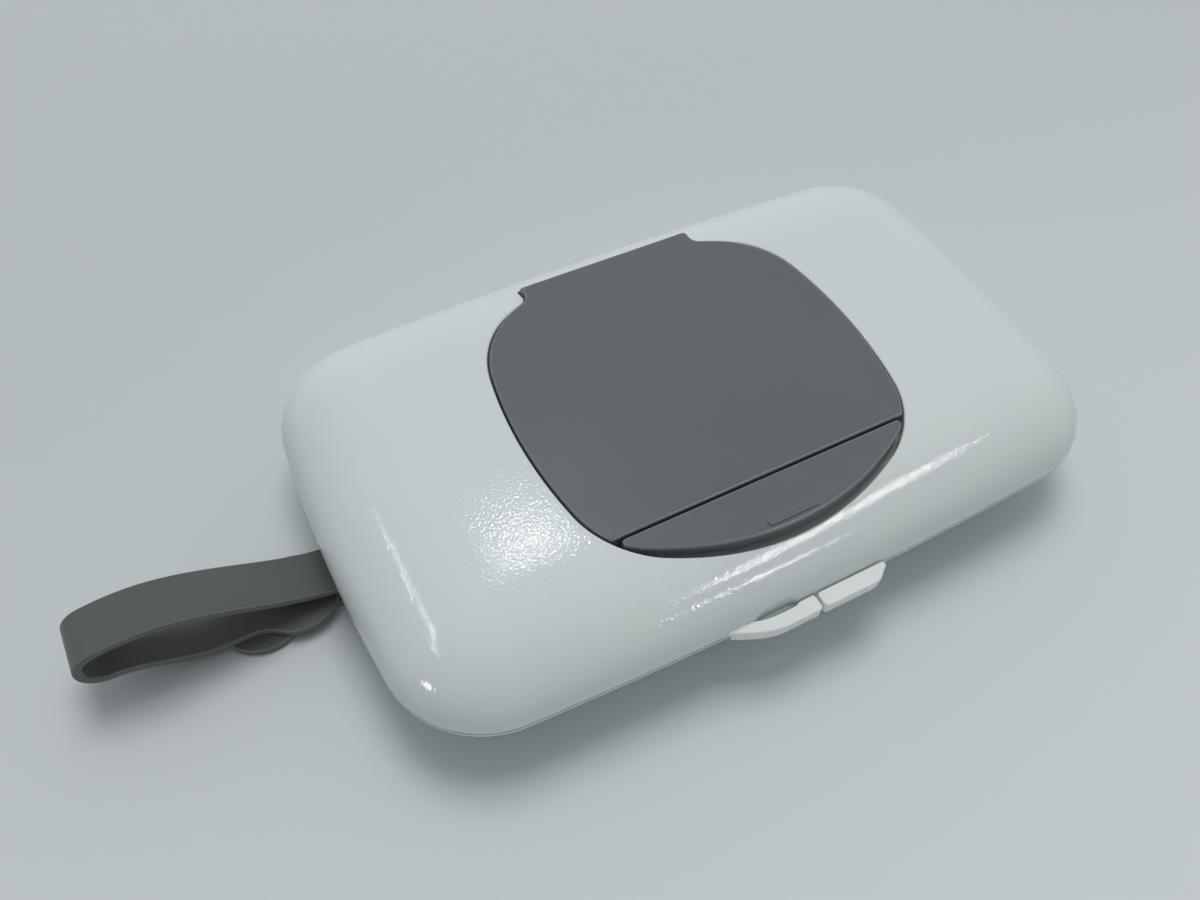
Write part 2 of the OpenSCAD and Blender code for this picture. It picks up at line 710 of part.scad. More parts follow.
module push_button() {
    low = top_z - button_skirt;
    nose_z = liner_z + catch_t + 0.2;
    color(lid_grey) difference() {
        union() {
            intersection() {
                difference() {
                    translate([0, -well_shift, 0]) stack(button_q, edge_rings(lid_gap, low));
                    translate([0, -well_shift, 0]) stack(button_q,
                        [[lid_gap + skirt_t, low - 1], [lid_gap + skirt_t, plate_z]]);
                }
                split_side(-button_back, -1);
                linear_extrude(60) split_plan(button_q)
                    translate([-well_l, -button_back - well_w]) square([2 * well_l, well_w]);
            }
            for (s = [-1, 1]) translate([s * (ear_x - ear_t - gap), 0, 0]) {
                x_rod(ear_r, ear_t, 0, -pivot_y, pivot_z, 40);
                translate([-ear_t / 2, -pivot_y - ear_r, pivot_z])
                    cube([ear_t, 2 * ear_r, plate_z + 0.3 - pivot_z]);
            }
            translate([-thumb_l / 2, button_front + edge_r + 0.2, top_z - 0.3])
                cube([thumb_l, thumb_w, thumb_h + 0.3]);
            // Latch nose
            translate([-nose_w / 2, -button_back - 1, nose_z]) cube([nose_w, 1, plate_z + 0.3 - nose_z]);
            translate([-nose_w / 2, -button_back - 0.2, nose_z])
                cube([nose_w, 0.2 + split_gap - hook_gap, nose_t]);
        }
        x_rod(pivot_r + 2 * fit, 2 * ear_x, 0, -pivot_y, pivot_z);
    }
}

module button_pin() {
    color(steel) x_rod(pivot_r, 2 * ear_x + ear_t, 0, -pivot_y, pivot_z);
}

button_spring_y = button_front + skirt_t + spring_r + wire_d / 2 + 6 * gap;

module button_spring() {
    h = plate_z - floor_z - wire_d - 2 * 0.05;
    color(steel) translate([0, button_spring_y, floor_z + wire_d / 2 + 0.05])
        coil(spring_r, wire_d, h / 4.5, 4.5, 6, 12);
}

// ---- strap ----------------------------------------------------------------------------------

// Stations [x, z, heading] along a leg of a given length and turn
function leg(p, l, turn, n) = [for (i = [1 : n])
    let (f = i / n, h = p[2] + turn * f, r = turn == 0 ? 0 : l * 180 / PI / turn)
    turn == 0 ? [p[0] + l * f * cos(h), p[1] + l * f * sin(h), h]
              : [p[0] + r * (sin(h) - sin(p[2])), p[1] - r * (cos(h) - cos(p[2])), h]];
function last(v) = v[len(v) - 1];

// Two bends that lift a level strap by rise over run
function lift(p, run, rise) =
    let (turn = 2 * atan2(rise, run), l = run / 2 / sin(turn) * turn * PI / 180,
         q = leg(p, l, turn, 4))
    concat(q, leg(last(q), l, -turn, 4));

// Stations along a curve that starts and ends with the given headings
function glide(a, pull_a, b, pull_b, n) =
    let (c = [a.x, a.y] + pull_a * dir(a.z), d = [b.x, b.y] - pull_b * dir(b.z))
    [for (i = [1 : n]) let (t = i / n, u = 1 - t,
        p = u ^ 3 * [a.x, a.y] + 3 * u * u * t * c + 3 * u * t * t * d + t ^ 3 * [b.x, b.y],
        v = u * u * (c - [a.x, a.y]) + 2 * u * t * (d - c) + t * t * ([b.x, b.y] - d),
        h = atan2(v.y, v.x)) [p.x, p.y, h < 0 ? h + 360 : h]];

mid = strap_t / 2;
wrap_r = bar_r + bar_slack + mid;
lap_z = strap_t + 0.15;
tip_x = bar_x - tongue_reach;
tongue_x = tip_x + paddle_r;
lobe_x = bar_x - lobe_reach;
rise_run = 8;

start = [tongue_x, mid, 0];
s1 = leg(start, bar_x - rise_run - tongue_x, 0, 1);
s2 = lift(last(s1), rise_run, bar_z - wrap_r - mid);
s3 = leg(last(s2), wrap_r * (180 + sag) * PI / 180, 180 + sag, 14);
crest = [bar_x - crest_reach, crest_h - mid, 180];
s4 = glide(last(s3), 0.42 * crest_reach, crest, 0.42 * crest_reach, 16);
s5 = leg(crest, crown_run, crown_lean, 3);
bend_r = (last(s5).y - mid) / (1 + cos(crown_lean));
s6 = leg(last(s5), bend_r * (180 - crown_lean) * PI / 180, 180 - crown_lean, 14);
ground = [last(s6).x, mid, 0];
s7 = leg(ground, tip_x - gap - rise_run - ground.x, 0, 1);
s8 = lift(last(s7), rise_run, lap_z);
s9 = leg(last(s8), lobe_x - last(s8).x, 0, 1);
route = concat([start], s1, s2, s3, s4, s5, s6, s7, s8, s9);

// Side view of the band: the route thickened to both sides
module strap_band() {
    left = [for (q = route) [q.x, q.y] + mid * dir(q.z + 90)];
    right = [for (i = [len(route) - 1 : -1 : 0]) [route[i].x, route[i].y] - mid * dir(route[i].z + 90)];
    translate([0, strap_y + strap_w / 2, 0]) rotate([90, 0, 0]) linear_extrude(strap_w)
        polygon(concat(left, right));
}

module paddle(x, z) {
    translate([x, strap_y, z]) cylinder(r = paddle_r, h = strap_t);
}

module strap() {
    color(strap_grey) difference() {
        union() {
            strap_band();
            paddle(tongue_x, 0);
            paddle(lobe_x, lap_z);
        }
        translate([lobe_x, strap_y, -1]) cylinder(r = stud_r + 2 * fit, h = 10);
        translate([lobe_x, strap_y, -1]) cylinder(r = stud_head_r + 2 * fit, h = 1 + mid);
    }
}

// Snap rivet that holds the lobe on the tongue
module strap_stud() {
    color(strap_grey) translate([lobe_x, strap_y, 0]) rotate_extrude()
        polygon([[0, 0.3], [stud_head_r, 0.3], [stud_head_r, mid - seat], [stud_r, mid - seat],
            [stud_r, lap_z + strap_t + seat], [stud_head_r, lap_z + strap_t + seat],
            [stud_head_r, lap_z + strap_t + 0.8], [stud_head_r - 0.6, lap_z + strap_t + 1.3],
            [0, lap_z + strap_t + 1.5]]);
}

bottom_shell();
base_window();
case_seal();
hinge_pin_left();
hinge_pin_right();
top_shell();
dispensing_insert();
lid_pin();
lid_spring();
flip_lid();
lid_liner();
lid_gasket();
push_button();
button_pin();
button_spring();
strap();
strap_stud();
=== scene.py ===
import logging
import math
from dataclasses import dataclass
from enum import Enum
from functools import cached_property
from typing import Callable, Sequence

import bpy
import numpy as np
from mathutils import Matrix, Vector
from mathutils.geometry import delaunay_2d_cdt


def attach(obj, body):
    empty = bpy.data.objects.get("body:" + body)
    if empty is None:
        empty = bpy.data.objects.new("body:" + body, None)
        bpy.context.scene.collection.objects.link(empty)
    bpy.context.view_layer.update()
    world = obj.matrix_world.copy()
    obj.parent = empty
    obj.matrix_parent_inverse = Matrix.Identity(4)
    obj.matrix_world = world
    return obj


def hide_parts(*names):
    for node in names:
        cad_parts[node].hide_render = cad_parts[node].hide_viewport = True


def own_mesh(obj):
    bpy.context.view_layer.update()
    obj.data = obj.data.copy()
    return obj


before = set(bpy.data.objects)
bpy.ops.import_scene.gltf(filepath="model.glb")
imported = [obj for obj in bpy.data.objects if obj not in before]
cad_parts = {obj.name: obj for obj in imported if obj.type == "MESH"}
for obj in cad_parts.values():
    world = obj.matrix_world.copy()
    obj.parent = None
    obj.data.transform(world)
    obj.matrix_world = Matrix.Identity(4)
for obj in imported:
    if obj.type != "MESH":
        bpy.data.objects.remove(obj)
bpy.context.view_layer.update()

MM = 0.001
LOG = logging.getLogger("wipes_case")


# ---- plane curves, in millimetres ----------------------------------------------------------


def arc_radius(half: float, bow: float) -> float:
    """Returns the radius of an arc over a chord of twice half that rises by bow."""
    return (half * half + bow * bow) / (2 * bow)


def unit(v: np.ndarray) -> np.ndarray:
    """Returns rows scaled to length one."""
    return v / np.maximum(np.linalg.norm(v, axis=-1, keepdims=True), 1e-12)


def along(points: np.ndarray) -> np.ndarray:
    """Returns how far along a line of points each of them lies."""
    return np.concatenate([[0], np.cumsum(np.linalg.norm(np.diff(points, axis=0), axis=1))])


def quarter(r: float, steps: int) -> list[tuple[float, float]]:
    """Returns a quarter turn of radius r as pairs of distances to its two tangents."""
    angles = np.linspace(0, math.pi / 2, steps)
    return [(r * (1 - math.cos(v)), r * (1 - math.sin(v))) for v in angles]


def resample(ring: np.ndarray, count: int) -> np.ndarray:
    """Spreads points evenly along a closed outline.

    Args:
        ring: closed outline, one row per point.
        count: how many points to return.

    Returns:
        The evenly spaced points.
    """
    loop = np.vstack([ring, ring[:1]])
    run = along(loop)
    at = np.arange(count) * run[-1] / count
    return np.stack([np.interp(at, run, loop[:, k]) for k in range(loop.shape[1])], 1)


def outward(ring: np.ndarray) -> np.ndarray:
    """Finds the outward unit normals of an outline.

    Args:
        ring: closed counter-clockwise outline.

    Returns:
        One normal per point.
    """
    step = unit(np.roll(ring, -1, 0) - ring)
    tangent = unit(step + np.roll(step, 1, 0))
    return np.stack([tangent[:, 1], -tangent[:, 0]], 1)


def line(a: Sequence[float], b: Sequence[float], step: float = 0.5) -> np.ndarray:
    """Walks along a straight line.

    Args:
        a: where it starts.
        b: where it ends.
        step: distance between points.

    Returns:
        The points, both ends among them.
    """
    a, b = np.array(a, float), np.array(b, float)
    n = max(2, int(np.linalg.norm(b - a) / step) + 1)
    return a + np.linspace(0, 1, n)[:, None] * (b - a)


def shifted(curve: np.ndarray, d: float) -> np.ndarray:
    """Returns an open curve moved to its left by d."""
    t = unit(np.gradient(curve, axis=0))
    return curve + d * np.stack([-t[:, 1], t[:, 0]], 1)


def fillet(a: np.ndarray, b: np.ndarray, r: float) -> tuple[float, float, np.ndarray]:
    """Finds the arc that joins two crossing curves.

    Args:
        a: curve that arrives at the corner.
        b: curve that leaves it.
        r: radius, positive where the path turns left.

    Returns:
        The place on a where the arc starts, the place on b where it ends, and its points.
    """
    pa, pb = shifted(a, r), shifted(b, r)
    for i in range(len(pa) - 2, -1, -1):
        d, e = pa[i + 1] - pa[i], pb[1:] - pb[:-1]
        cross = d[0] * e[:, 1] - d[1] * e[:, 0]
        cross = np.where(abs(cross) < 1e-12, 1e-12, cross)
        gap = pb[:-1] - pa[i]
        s = (gap[:, 0] * e[:, 1] - gap[:, 1] * e[:, 0]) / cross
        t = (gap[:, 0] * d[1] - gap[:, 1] * d[0]) / cross
        hit = np.nonzero((s >= 0) & (s <= 1) & (t >= 0) & (t <= 1))[0]
        if len(hit):
            j = int(hit[0])
            centre = pa[i] + s[j] * d
            start, end = a[i] + s[j] * (a[i + 1] - a[i]), b[j] + t[j] * (b[j + 1] - b[j])
            a0 = math.atan2(*(start - centre)[::-1])
            a1 = math.atan2(*(end - centre)[::-1])
            turn = (a1 - a0) % math.tau if r > 0 else -((a0 - a1) % math.tau)
            n = max(4, int(abs(turn * r) / 0.15))
            angles = a0 + turn * np.linspace(0, 1, n)
            arc = centre + abs(r) * np.stack([np.cos(angles), np.sin(angles)], 1)
            return i + float(s[j]), j + float(t[j]), arc
    raise ValueError("the two curves don't meet")


def chain(curves: list[np.ndarray], radii: list[float]) -> np.ndarray:
    """Joins curves into one closed outline.

    Args:
        curves: the curves in counter-clockwise order, each running past its corners.
        radii: the fillet after each curve.

    Returns:
        The closed outline.
    """
    n = len(curves)
    cuts = [fillet(curves[i], curves[(i + 1) % n], radii[i]) for i in range(n)]
    points = []
    for i, curve in enumerate(curves):
        low, high = cuts[i - 1][1], cuts[i][0]
        points += [curve[math.ceil(low) : math.floor(high) + 1], cuts[i][2]]
    return np.vstack(points)


def on_rays(ring: np.ndarray, theta: np.ndarray) -> np.ndarray:
    """Finds where rays from the middle cross a closed outline.

    Args:
        ring: the outline.
        theta: directions of the rays, in radians.

    Returns:
        One point per ray.
    """
    dense = resample(ring, 4000)
    angle = np.arctan2(dense[:, 1], dense[:, 0])
    reach = np.interp(theta, angle, np.hypot(dense[:, 0], dense[:, 1]), period=math.tau)
    return reach[:, None] * np.stack([np.cos(theta), np.sin(theta)], 1)


@dataclass(frozen=True)
class Bowed:
    """Rounded rectangle whose four sides bow out, made of arcs that run into each other."""

    half_x: float
    half_y: float
    corner: float
    bow_y: float
    bow_x: float
    shift: float = 0.0

    @cached_property
    def arcs(self) -> tuple[np.ndarray, np.ndarray, float, float]:
        """Finds the arcs of one quarter of the outline.

        Returns:
            Centres and radii of the end, corner and side arcs, and the angles where they meet.
        """
        ra, rb = arc_radius(self.half_x, self.bow_y), arc_radius(self.half_y, self.bow_x)
        ca, cb = np.array([0, self.half_y - ra]), np.array([self.half_x - rb, 0])
        qa, qb = ra - self.corner, rb - self.corner
        d = np.linalg.norm(cb - ca)
        x = (d * d + qa * qa - qb * qb) / (2 * d)
        e = (cb - ca) / d
        foot, side = ca + e * x, np.array([-e[1], e[0]]) * math.sqrt(qa * qa - x * x)
        cc = max(foot + side, foot - side, key=sum)
        ta = math.atan2(cc[1] - ca[1], cc[0] - ca[0])
        tb = math.atan2(cc[1] - cb[1], cc[0] - cb[0])
        return np.array([cb, cc, ca]), np.array([rb, self.corner, ra]), tb, ta

    def at(self, phi: np.ndarray, inset: float | np.ndarray) -> np.ndarray:
        """Finds outline points by the direction that they face.

        Args:
            phi: direction of the outward normal, in radians.
            inset: how far the points are drawn in.

        Returns:
            One row per direction.
        """
        centres, radii, tb, ta = self.arcs
        c, s = np.cos(phi), np.sin(phi)
        q = np.arctan2(abs(s), abs(c))
        zone = np.where(q < tb, 0, np.where(q < ta, 1, 2))
        p = centres[zone] + (radii[zone] - inset)[:, None] * np.stack([abs(c), abs(s)], 1)
        return p * np.stack([np.sign(c), np.sign(s)], 1) + [0, self.shift]

    def run(self, low: float, high: float, inset: float = 0.0, step: float = 0.3) -> np.ndarray:
        """Walks evenly along a part of the outline.

        Args:
            low: facing angle where it starts, in degrees.
            high: facing angle where it ends.
            inset: how far the points are drawn in.
            step: distance between points.

        Returns:
            The points.
        """
        phi = np.radians(np.linspace(low, high, 6000))
        p = self.at(phi, inset)
        way = along(p)
        n = max(8, int(way[-1] / step))
        return self.at(np.interp(np.linspace(0, way[-1], n), way, phi), inset)

    def facing(self, theta: np.ndarray) -> np.ndarray:
        """Finds which way the outline faces where rays from the middle cross it.

        Args:
            theta: directions of the rays, in radians.

        Returns:
            The facing angles, in radians.
        """
        phi = np.linspace(0, math.tau, 40001)
        p = self.at(phi, 0.0)
        polar = np.unwrap(np.arctan2(p[:, 1], p[:, 0]))
        return np.interp(np.mod(theta - polar[0], math.tau) + polar[0], polar, phi)

    def depth(self, points: np.ndarray) -> np.ndarray:
        """Finds how far points lie inside the outline.

        Args:
            points: one row per point.

        Returns:
            The distances.
        """
        centres, radii, tb, ta = self.arcs
        p = abs(points - [0, self.shift])
        out = np.full(len(p), np.inf)
        for k, low, high in ((0, -math.pi, tb), (2, ta, math.pi)):
            v = p - centres[k]
            d = radii[k] - np.linalg.norm(v, axis=1)
            angle = np.arctan2(v[:, 1], v[:, 0])
            out = np.where((angle >= low) & (angle <= high), np.minimum(out, d), out)
        v = p - centres[1]
        return np.where(np.isinf(out), radii[1] - np.linalg.norm(v, axis=1), out)


# ---- meshes --------------------------------------------------------------------------------


class Operation(Enum):
    """Ways to combine two solids."""

    JOIN = "UNION"
    CUT = "DIFFERENCE"
    KEEP = "INTERSECT"


class Shape:
    """Points and faces gathered for one closed mesh, in millimetres."""

    def __init__(self) -> None:
        """Starts an empty shape."""
        self.points: list[np.ndarray] = []
        self.faces: list[tuple[int, ...]] = []
        self.count = 0

    def ring(self, flat: np.ndarray, z: float | np.ndarray = 0.0) -> np.ndarray:
        """Adds a ring of points.

        Args:
            flat: points in the plane, or in space.
            z: height of points in the plane.

        Returns:
            The points' indices.
        """
        if flat.shape[1] == 2:
            flat = np.column_stack([flat, np.broadcast_to(z, len(flat))])
        self.points.append(flat)
        self.count += len(flat)
        return np.arange(self.count - len(flat), self.count)

    def bridge(self, a: np.ndarray, b: np.ndarray) -> None:
        """Skins between two rings of as many points."""
        c, d = np.roll(a, -1), np.roll(b, -1)
        self.faces += [tuple(int(v) for v in q) for q in zip(a, c, d, b)]

    def skin(self, rings: list[np.ndarray], closed: bool = False) -> None:
        """Skins a stack of rings.

        Args:
            rings: indices of each ring's points.
            closed: whether the last ring meets the first.
        """
        for a, b in zip(rings, rings[1:]):
            self.bridge(a, b)
        if closed:
            self.bridge(rings[-1], rings[0])

    def net(self, ring: np.ndarray, grid: np.ndarray, apart: float, flip: bool) -> None:
        """Closes a level ring with triangles that run through inner points.

        Args:
            ring: indices of the ring's points.
            grid: inner points, one row each.
            apart: how far a point must lie from the ring to be used.
            flip: whether the net faces down.
        """
        edge = np.vstack(self.points)[ring]
        near = [np.min(np.linalg.norm(edge[:, :2] - g, axis=1)) > apart for g in grid]
        inner = grid[np.array(near, bool)] if len(grid) else grid
        n = len(edge)
        flat = [Vector((float(p[0]), float(p[1]))) for p in np.vstack([edge[:, :2], inner])]
        links = [(i, (i + 1) % n) for i in range(n)]
        out, _, faces, origin, _, _ = delaunay_2d_cdt(flat, links, [], 1, 1e-7)
        z = float(edge[:, 2].mean())
        extra = self.ring(np.array([[p.x, p.y, z] for p in out]))
        own = [int(ring[o[0]]) if o and o[0] < n else int(extra[k]) for k, o in enumerate(origin)]
        for f in faces:
            loop = tuple(own[v] for v in f)
            self.faces.append(loop[::-1] if flip else loop)

    def cap(self, ring: np.ndarray, flip: bool, spacing: float = 4.0) -> None:
        """Closes a level ring with a fine even net.

        Args:
            ring: indices of the ring's points.
            flip: whether the net faces down.
            spacing: distance between the net's points.
        """
        edge = np.vstack(self.points)[ring]
        low, high = edge[:, :2].min(0), edge[:, :2].max(0)
        grid = np.array([
            (x, y)
            for x in np.arange(low[0] + spacing / 2, high[0], spacing)
            for y in np.arange(low[1] + spacing / 2, high[1], spacing)
        ]).reshape(-1, 2)
        self.net(ring, grid, 0.6 * spacing, flip)

    def build(self, name: str) -> bpy.types.Object:
        """Makes the object.

        Args:
            name: name of the object and its mesh.

        Returns:
            A closed mesh object with its faces outwards, in metres.
        """
        co = np.vstack(self.points)
        used = np.unique(np.concatenate([np.array(f) for f in self.faces]))
        new = np.full(len(co), -1)
        new[used] = np.arange(len(used))
        co, faces = co[used], [tuple(int(new[v]) for v in f) for f in self.faces]
        tri = np.array([(f[0], f[i], f[i + 1]) for f in faces for i in range(1, len(f) - 1)])
        volume = np.einsum("ij,ij->i", co[tri[:, 0]], np.cross(co[tri[:, 1]], co[tri[:, 2]])).sum()
        if volume < 0:
            faces = [f[::-1] for f in faces]
        mesh = bpy.data.meshes.new(name)
        mesh.from_pydata((co * MM).tolist(), [], faces)
        mesh.validate()
        obj = bpy.data.objects.new(name, mesh)
        bpy.context.scene.collection.objects.link(obj)
        return smooth(obj)


def smooth(obj: bpy.types.Object, angle: float = 32.0) -> bpy.types.Object:
    """Shades a mesh smooth with sharp edges.

    Args:
        obj: the mesh object.
        angle: edges steeper than this stay sharp, in degrees.

    Returns:
        The same object.
    """
    mesh = obj.data
    if "sharp_edge" in mesh.attributes:
        mesh.attributes.remove(mesh.attributes["sharp_edge"])
    mesh.polygons.foreach_set("use_smooth", np.ones(len(mesh.polygons), bool))
    mesh.set_sharp_from_angle(angle=math.radians(angle))
    return obj


def bake(obj: bpy.types.Object) -> bpy.types.Object:
    """Turns an object's modifiers into plain mesh and removes them.

    Args:
        obj: the object.

    Returns:
        The same object.
    """
    graph = bpy.context.evaluated_depsgraph_get()
    mesh = bpy.data.meshes.new_from_object(obj.evaluated_get(graph))
    old = obj.data
    obj.modifiers.clear()
    obj.data = mesh
    if old.users == 0:
        bpy.data.meshes.remove(old)
    obj.data.name = obj.name
    return obj


def combine(obj: bpy.types.Object, tool: bpy.types.Object, how: Operation) -> bpy.types.Object:
    """Joins, cuts or keeps a solid with another, which is used up.

    Args:
        obj: the solid that stays.
        tool: the solid that is used up.
        how: what is done.

    Returns:
        The changed solid.
    """
    mod = obj.modifiers.new("combine", "BOOLEAN")
    mod.operation, mod.solver, mod.object = how.value, "MANIFOLD", tool
    before = len(obj.data.vertices)
    bake(obj)
    if len(obj.data.vertices) == before:
        LOG.warning("%s was not changed by %s", obj.name, tool.name)
    bpy.data.objects.remove(tool)
    return obj


def settle(obj: bpy.types.Object, angle: float = 32.0) -> bpy.types.Object:
    """Gives a combined solid clean shading: large faces rule the normals beside small ones.

    Args:
        obj: the solid.
        angle: edges steeper than this stay sharp, in degrees.

    Returns:
        The same solid.
    """
    smooth(obj, angle)
    mod = obj.modifiers.new("normals", "WEIGHTED_NORMAL")
    mod.keep_sharp, mod.weight = True, 80
    return bake(obj)


def lathe(outline: np.ndarray, path: list[tuple[float, float]], name: str,
          spacing: float = 4.0) -> bpy.types.Object:
    """Makes a solid from an outline and a path of insets and heights, closed at both ends.

    Args:
        outline: counter-clockwise outline.
        path: (inset, height) from the middle of the underside round to the middle of the top.
        name: name of the solid.
        spacing: size of the net that closes the two ends.

    Returns:
        The solid.
    """
    shape = Shape()
    normal = outward(outline)
    rings = [shape.ring(outline - inset * normal, z) for inset, z in path]
    shape.skin(rings)
    shape.cap(rings[0], True, spacing)
    shape.cap(rings[-1], False, spacing)
    return shape.build(name)


def eased(low: float, high: float, r0: float, r1: float, rest: float = 0.35,
          steps: int = 6) -> list[tuple[float, float]]:
    """Draws the path of a slab with rounded lower and upper edges.

    Args:
        low: height of its underside.
        high: height of its top.
        r0: radius of the lower edge.
        r1: radius of the upper edge.
        rest: flat part before the net begins.
        steps: points on each edge.

    Returns:
        The path, as (inset, height).
    """
    lower = [(b, low + a) for a, b in quarter(r0, steps)]
    upper = [(a, high - b) for a, b in quarter(r1, steps)]
    return [(r0 + rest, low), *lower, *upper, (r1 + rest, high)]


def turned(profile: list[tuple[float, float]], centre: Sequence[float], axis: str, name: str,
           count: int = 96) -> bpy.types.Object:
    """Turns a profile round an axis.

    Args:
        profile: (radius, place along the axis), closed unless it starts and ends on the axis.
        centre: middle of the axis.
        axis: X, Y or Z.
        name: name of the solid.
        count: steps round the axis.

    Returns:
        The solid.
    """
    a = np.arange(count) * math.tau / count
    shape = Shape()
    rings = []
    for r, t in profile:
        u, v = r * np.cos(a), r * np.sin(a)
        w = np.full(count, t)
        order = {"X": [w, u, v], "Y": [-u, w, v], "Z": [u, v, w]}[axis]
        rings.append(shape.ring(np.stack(order, 1) + centre))
    if profile[0][0] > 1e-6:
        shape.skin(rings, closed=True)
    else:
        shape.skin(rings[1:-1])
        for hub, ring, flip in ((rings[0][0], rings[1], True), (rings[-1][0], rings[-2], False)):
            for i in range(count):
                f = (int(hub), int(ring[i]), int(ring[(i + 1) % count]))
                shape.faces.append(f[::-1] if flip else f)
    return shape.build(name)


def rod(r: float, low: float, high: float, y: float, z: float, name: str = "rod",
        ease: float = 0.0) -> bpy.types.Object:
    """Makes a round bar along X.

    Args:
        r: radius.
        low: X of one end.
        high: X of the other end.
        y: its place across.
        z: its height.
        name: name of the solid.
        ease: radius of the ends' edges, or 0.

    Returns:
        The solid.
    """
    if ease <= 0:
        path = [(0, low), (r, low), (r, high), (0, high)]
    else:
        head = [(r - b, a) for a, b in quarter(ease, 6)]
        path = [(0, low), *[(q, low + t) for q, t in head],
                *[(q, high - t) for q, t in head[::-1]], (0, high)]
    return turned(path, (0, y, z), "X", name)


def both_sides(x: float, half: float) -> list[tuple[float, float]]:
    """Returns the two spans of a part that stands at x and, mirrored, at minus x."""
    return [(side * x - half, side * x + half) for side in (-1, 1)]


def prism(outline: Sequence[Sequence[float]], low: float, high: float, axis: str = "Z",
          name: str = "prism") -> bpy.types.Object:
    """Makes a straight prism on a flat outline, along Z, X or Y.

    Args:
        outline: corners, as (x, y), (y, z) or (x, z) for the axes Z, X and Y.
        low: start along the axis.
        high: end along the axis.
        axis: direction of the prism.
        name: name of the solid.

    Returns:
        The solid.
    """
    flat = np.array(outline, float)
    shape = Shape()
    rings = []
    for level in (low, high):
        w = np.full(len(flat), level)
        order = {"Z": [flat[:, 0], flat[:, 1], w], "X": [w, flat[:, 0], flat[:, 1]],
                 "Y": [flat[:, 0], w, flat[:, 1]]}[axis]
        rings.append(shape.ring(np.stack(order, 1)))
    shape.bridge(*rings)
    shape.faces.append(tuple(int(v) for v in rings[0][::-1]))
    shape.faces.append(tuple(int(v) for v in rings[1]))
    return shape.build(name)


def block(low: Sequence[float], high: Sequence[float], name: str = "block") -> bpy.types.Object:
    """Makes a plain block between two corners, used only to cut or to join."""
    (x0, y0, z0), (x1, y1, z1) = low, high
    return prism([(x0, y0), (x1, y0), (x1, y1), (x0, y1)], z0, z1, name=name)


def drill(solid: bpy.types.Object, radius: float, half: float,
          axis: tuple[float, float]) -> None:
    """Bores a hole along X, half to both sides of the middle, whose axis is at (y, z)."""
    combine(solid, rod(radius, -half, half, *axis, "hole"), Operation.CUT)


def flank(solid: bpy.types.Object, outline: Sequence[Sequence[float]], x: float,
          half: float) -> None:
    """Joins a prism along X to a solid on both sides.

    Args:
        solid: the solid, which is changed.
        outline: the prism's side view, as (y, z).
        x: how far from the middle the prisms stand.
        half: half their thickness.
    """
    for low, high in both_sides(x, half):
        combine(solid, prism(outline, low, high, axis="X", name="flank"), Operation.JOIN)


# ---- finishes ------------------------------------------------------------------------------


def linear(code: str) -> tuple[float, float, float, float]:
    """Turns an sRGB hex colour into linear values."""
    rgb = [int(code[i : i + 2], 16) / 255 for i in (1, 3, 5)]
    return (*[c / 12.92 if c <= 0.04045 else ((c + 0.055) / 1.055) ** 2.4 for c in rgb], 1.0)


def per(size: float) -> float:
    """Returns the texture scale of a pattern whose features are size millimetres across."""
    return 1 / (size * MM)


def add(tree: bpy.types.NodeTree, kind: str, inputs: dict | None = None,
        **settings: str) -> bpy.types.Node:
    """Adds a node to a tree.

    Args:
        tree: the node tree.
        kind: the node's type.
        inputs: values or sockets by input name or number.
        settings: the node's own properties.

    Returns:
        The node.
    """
    node = tree.nodes.new(kind)
    for key, value in settings.items():
        setattr(node, key, value)
    for key, value in (inputs or {}).items():
        if isinstance(value, bpy.types.NodeSocket):
            tree.links.new(value, node.inputs[key])
        else:
            node.inputs[key].default_value = value
    return node


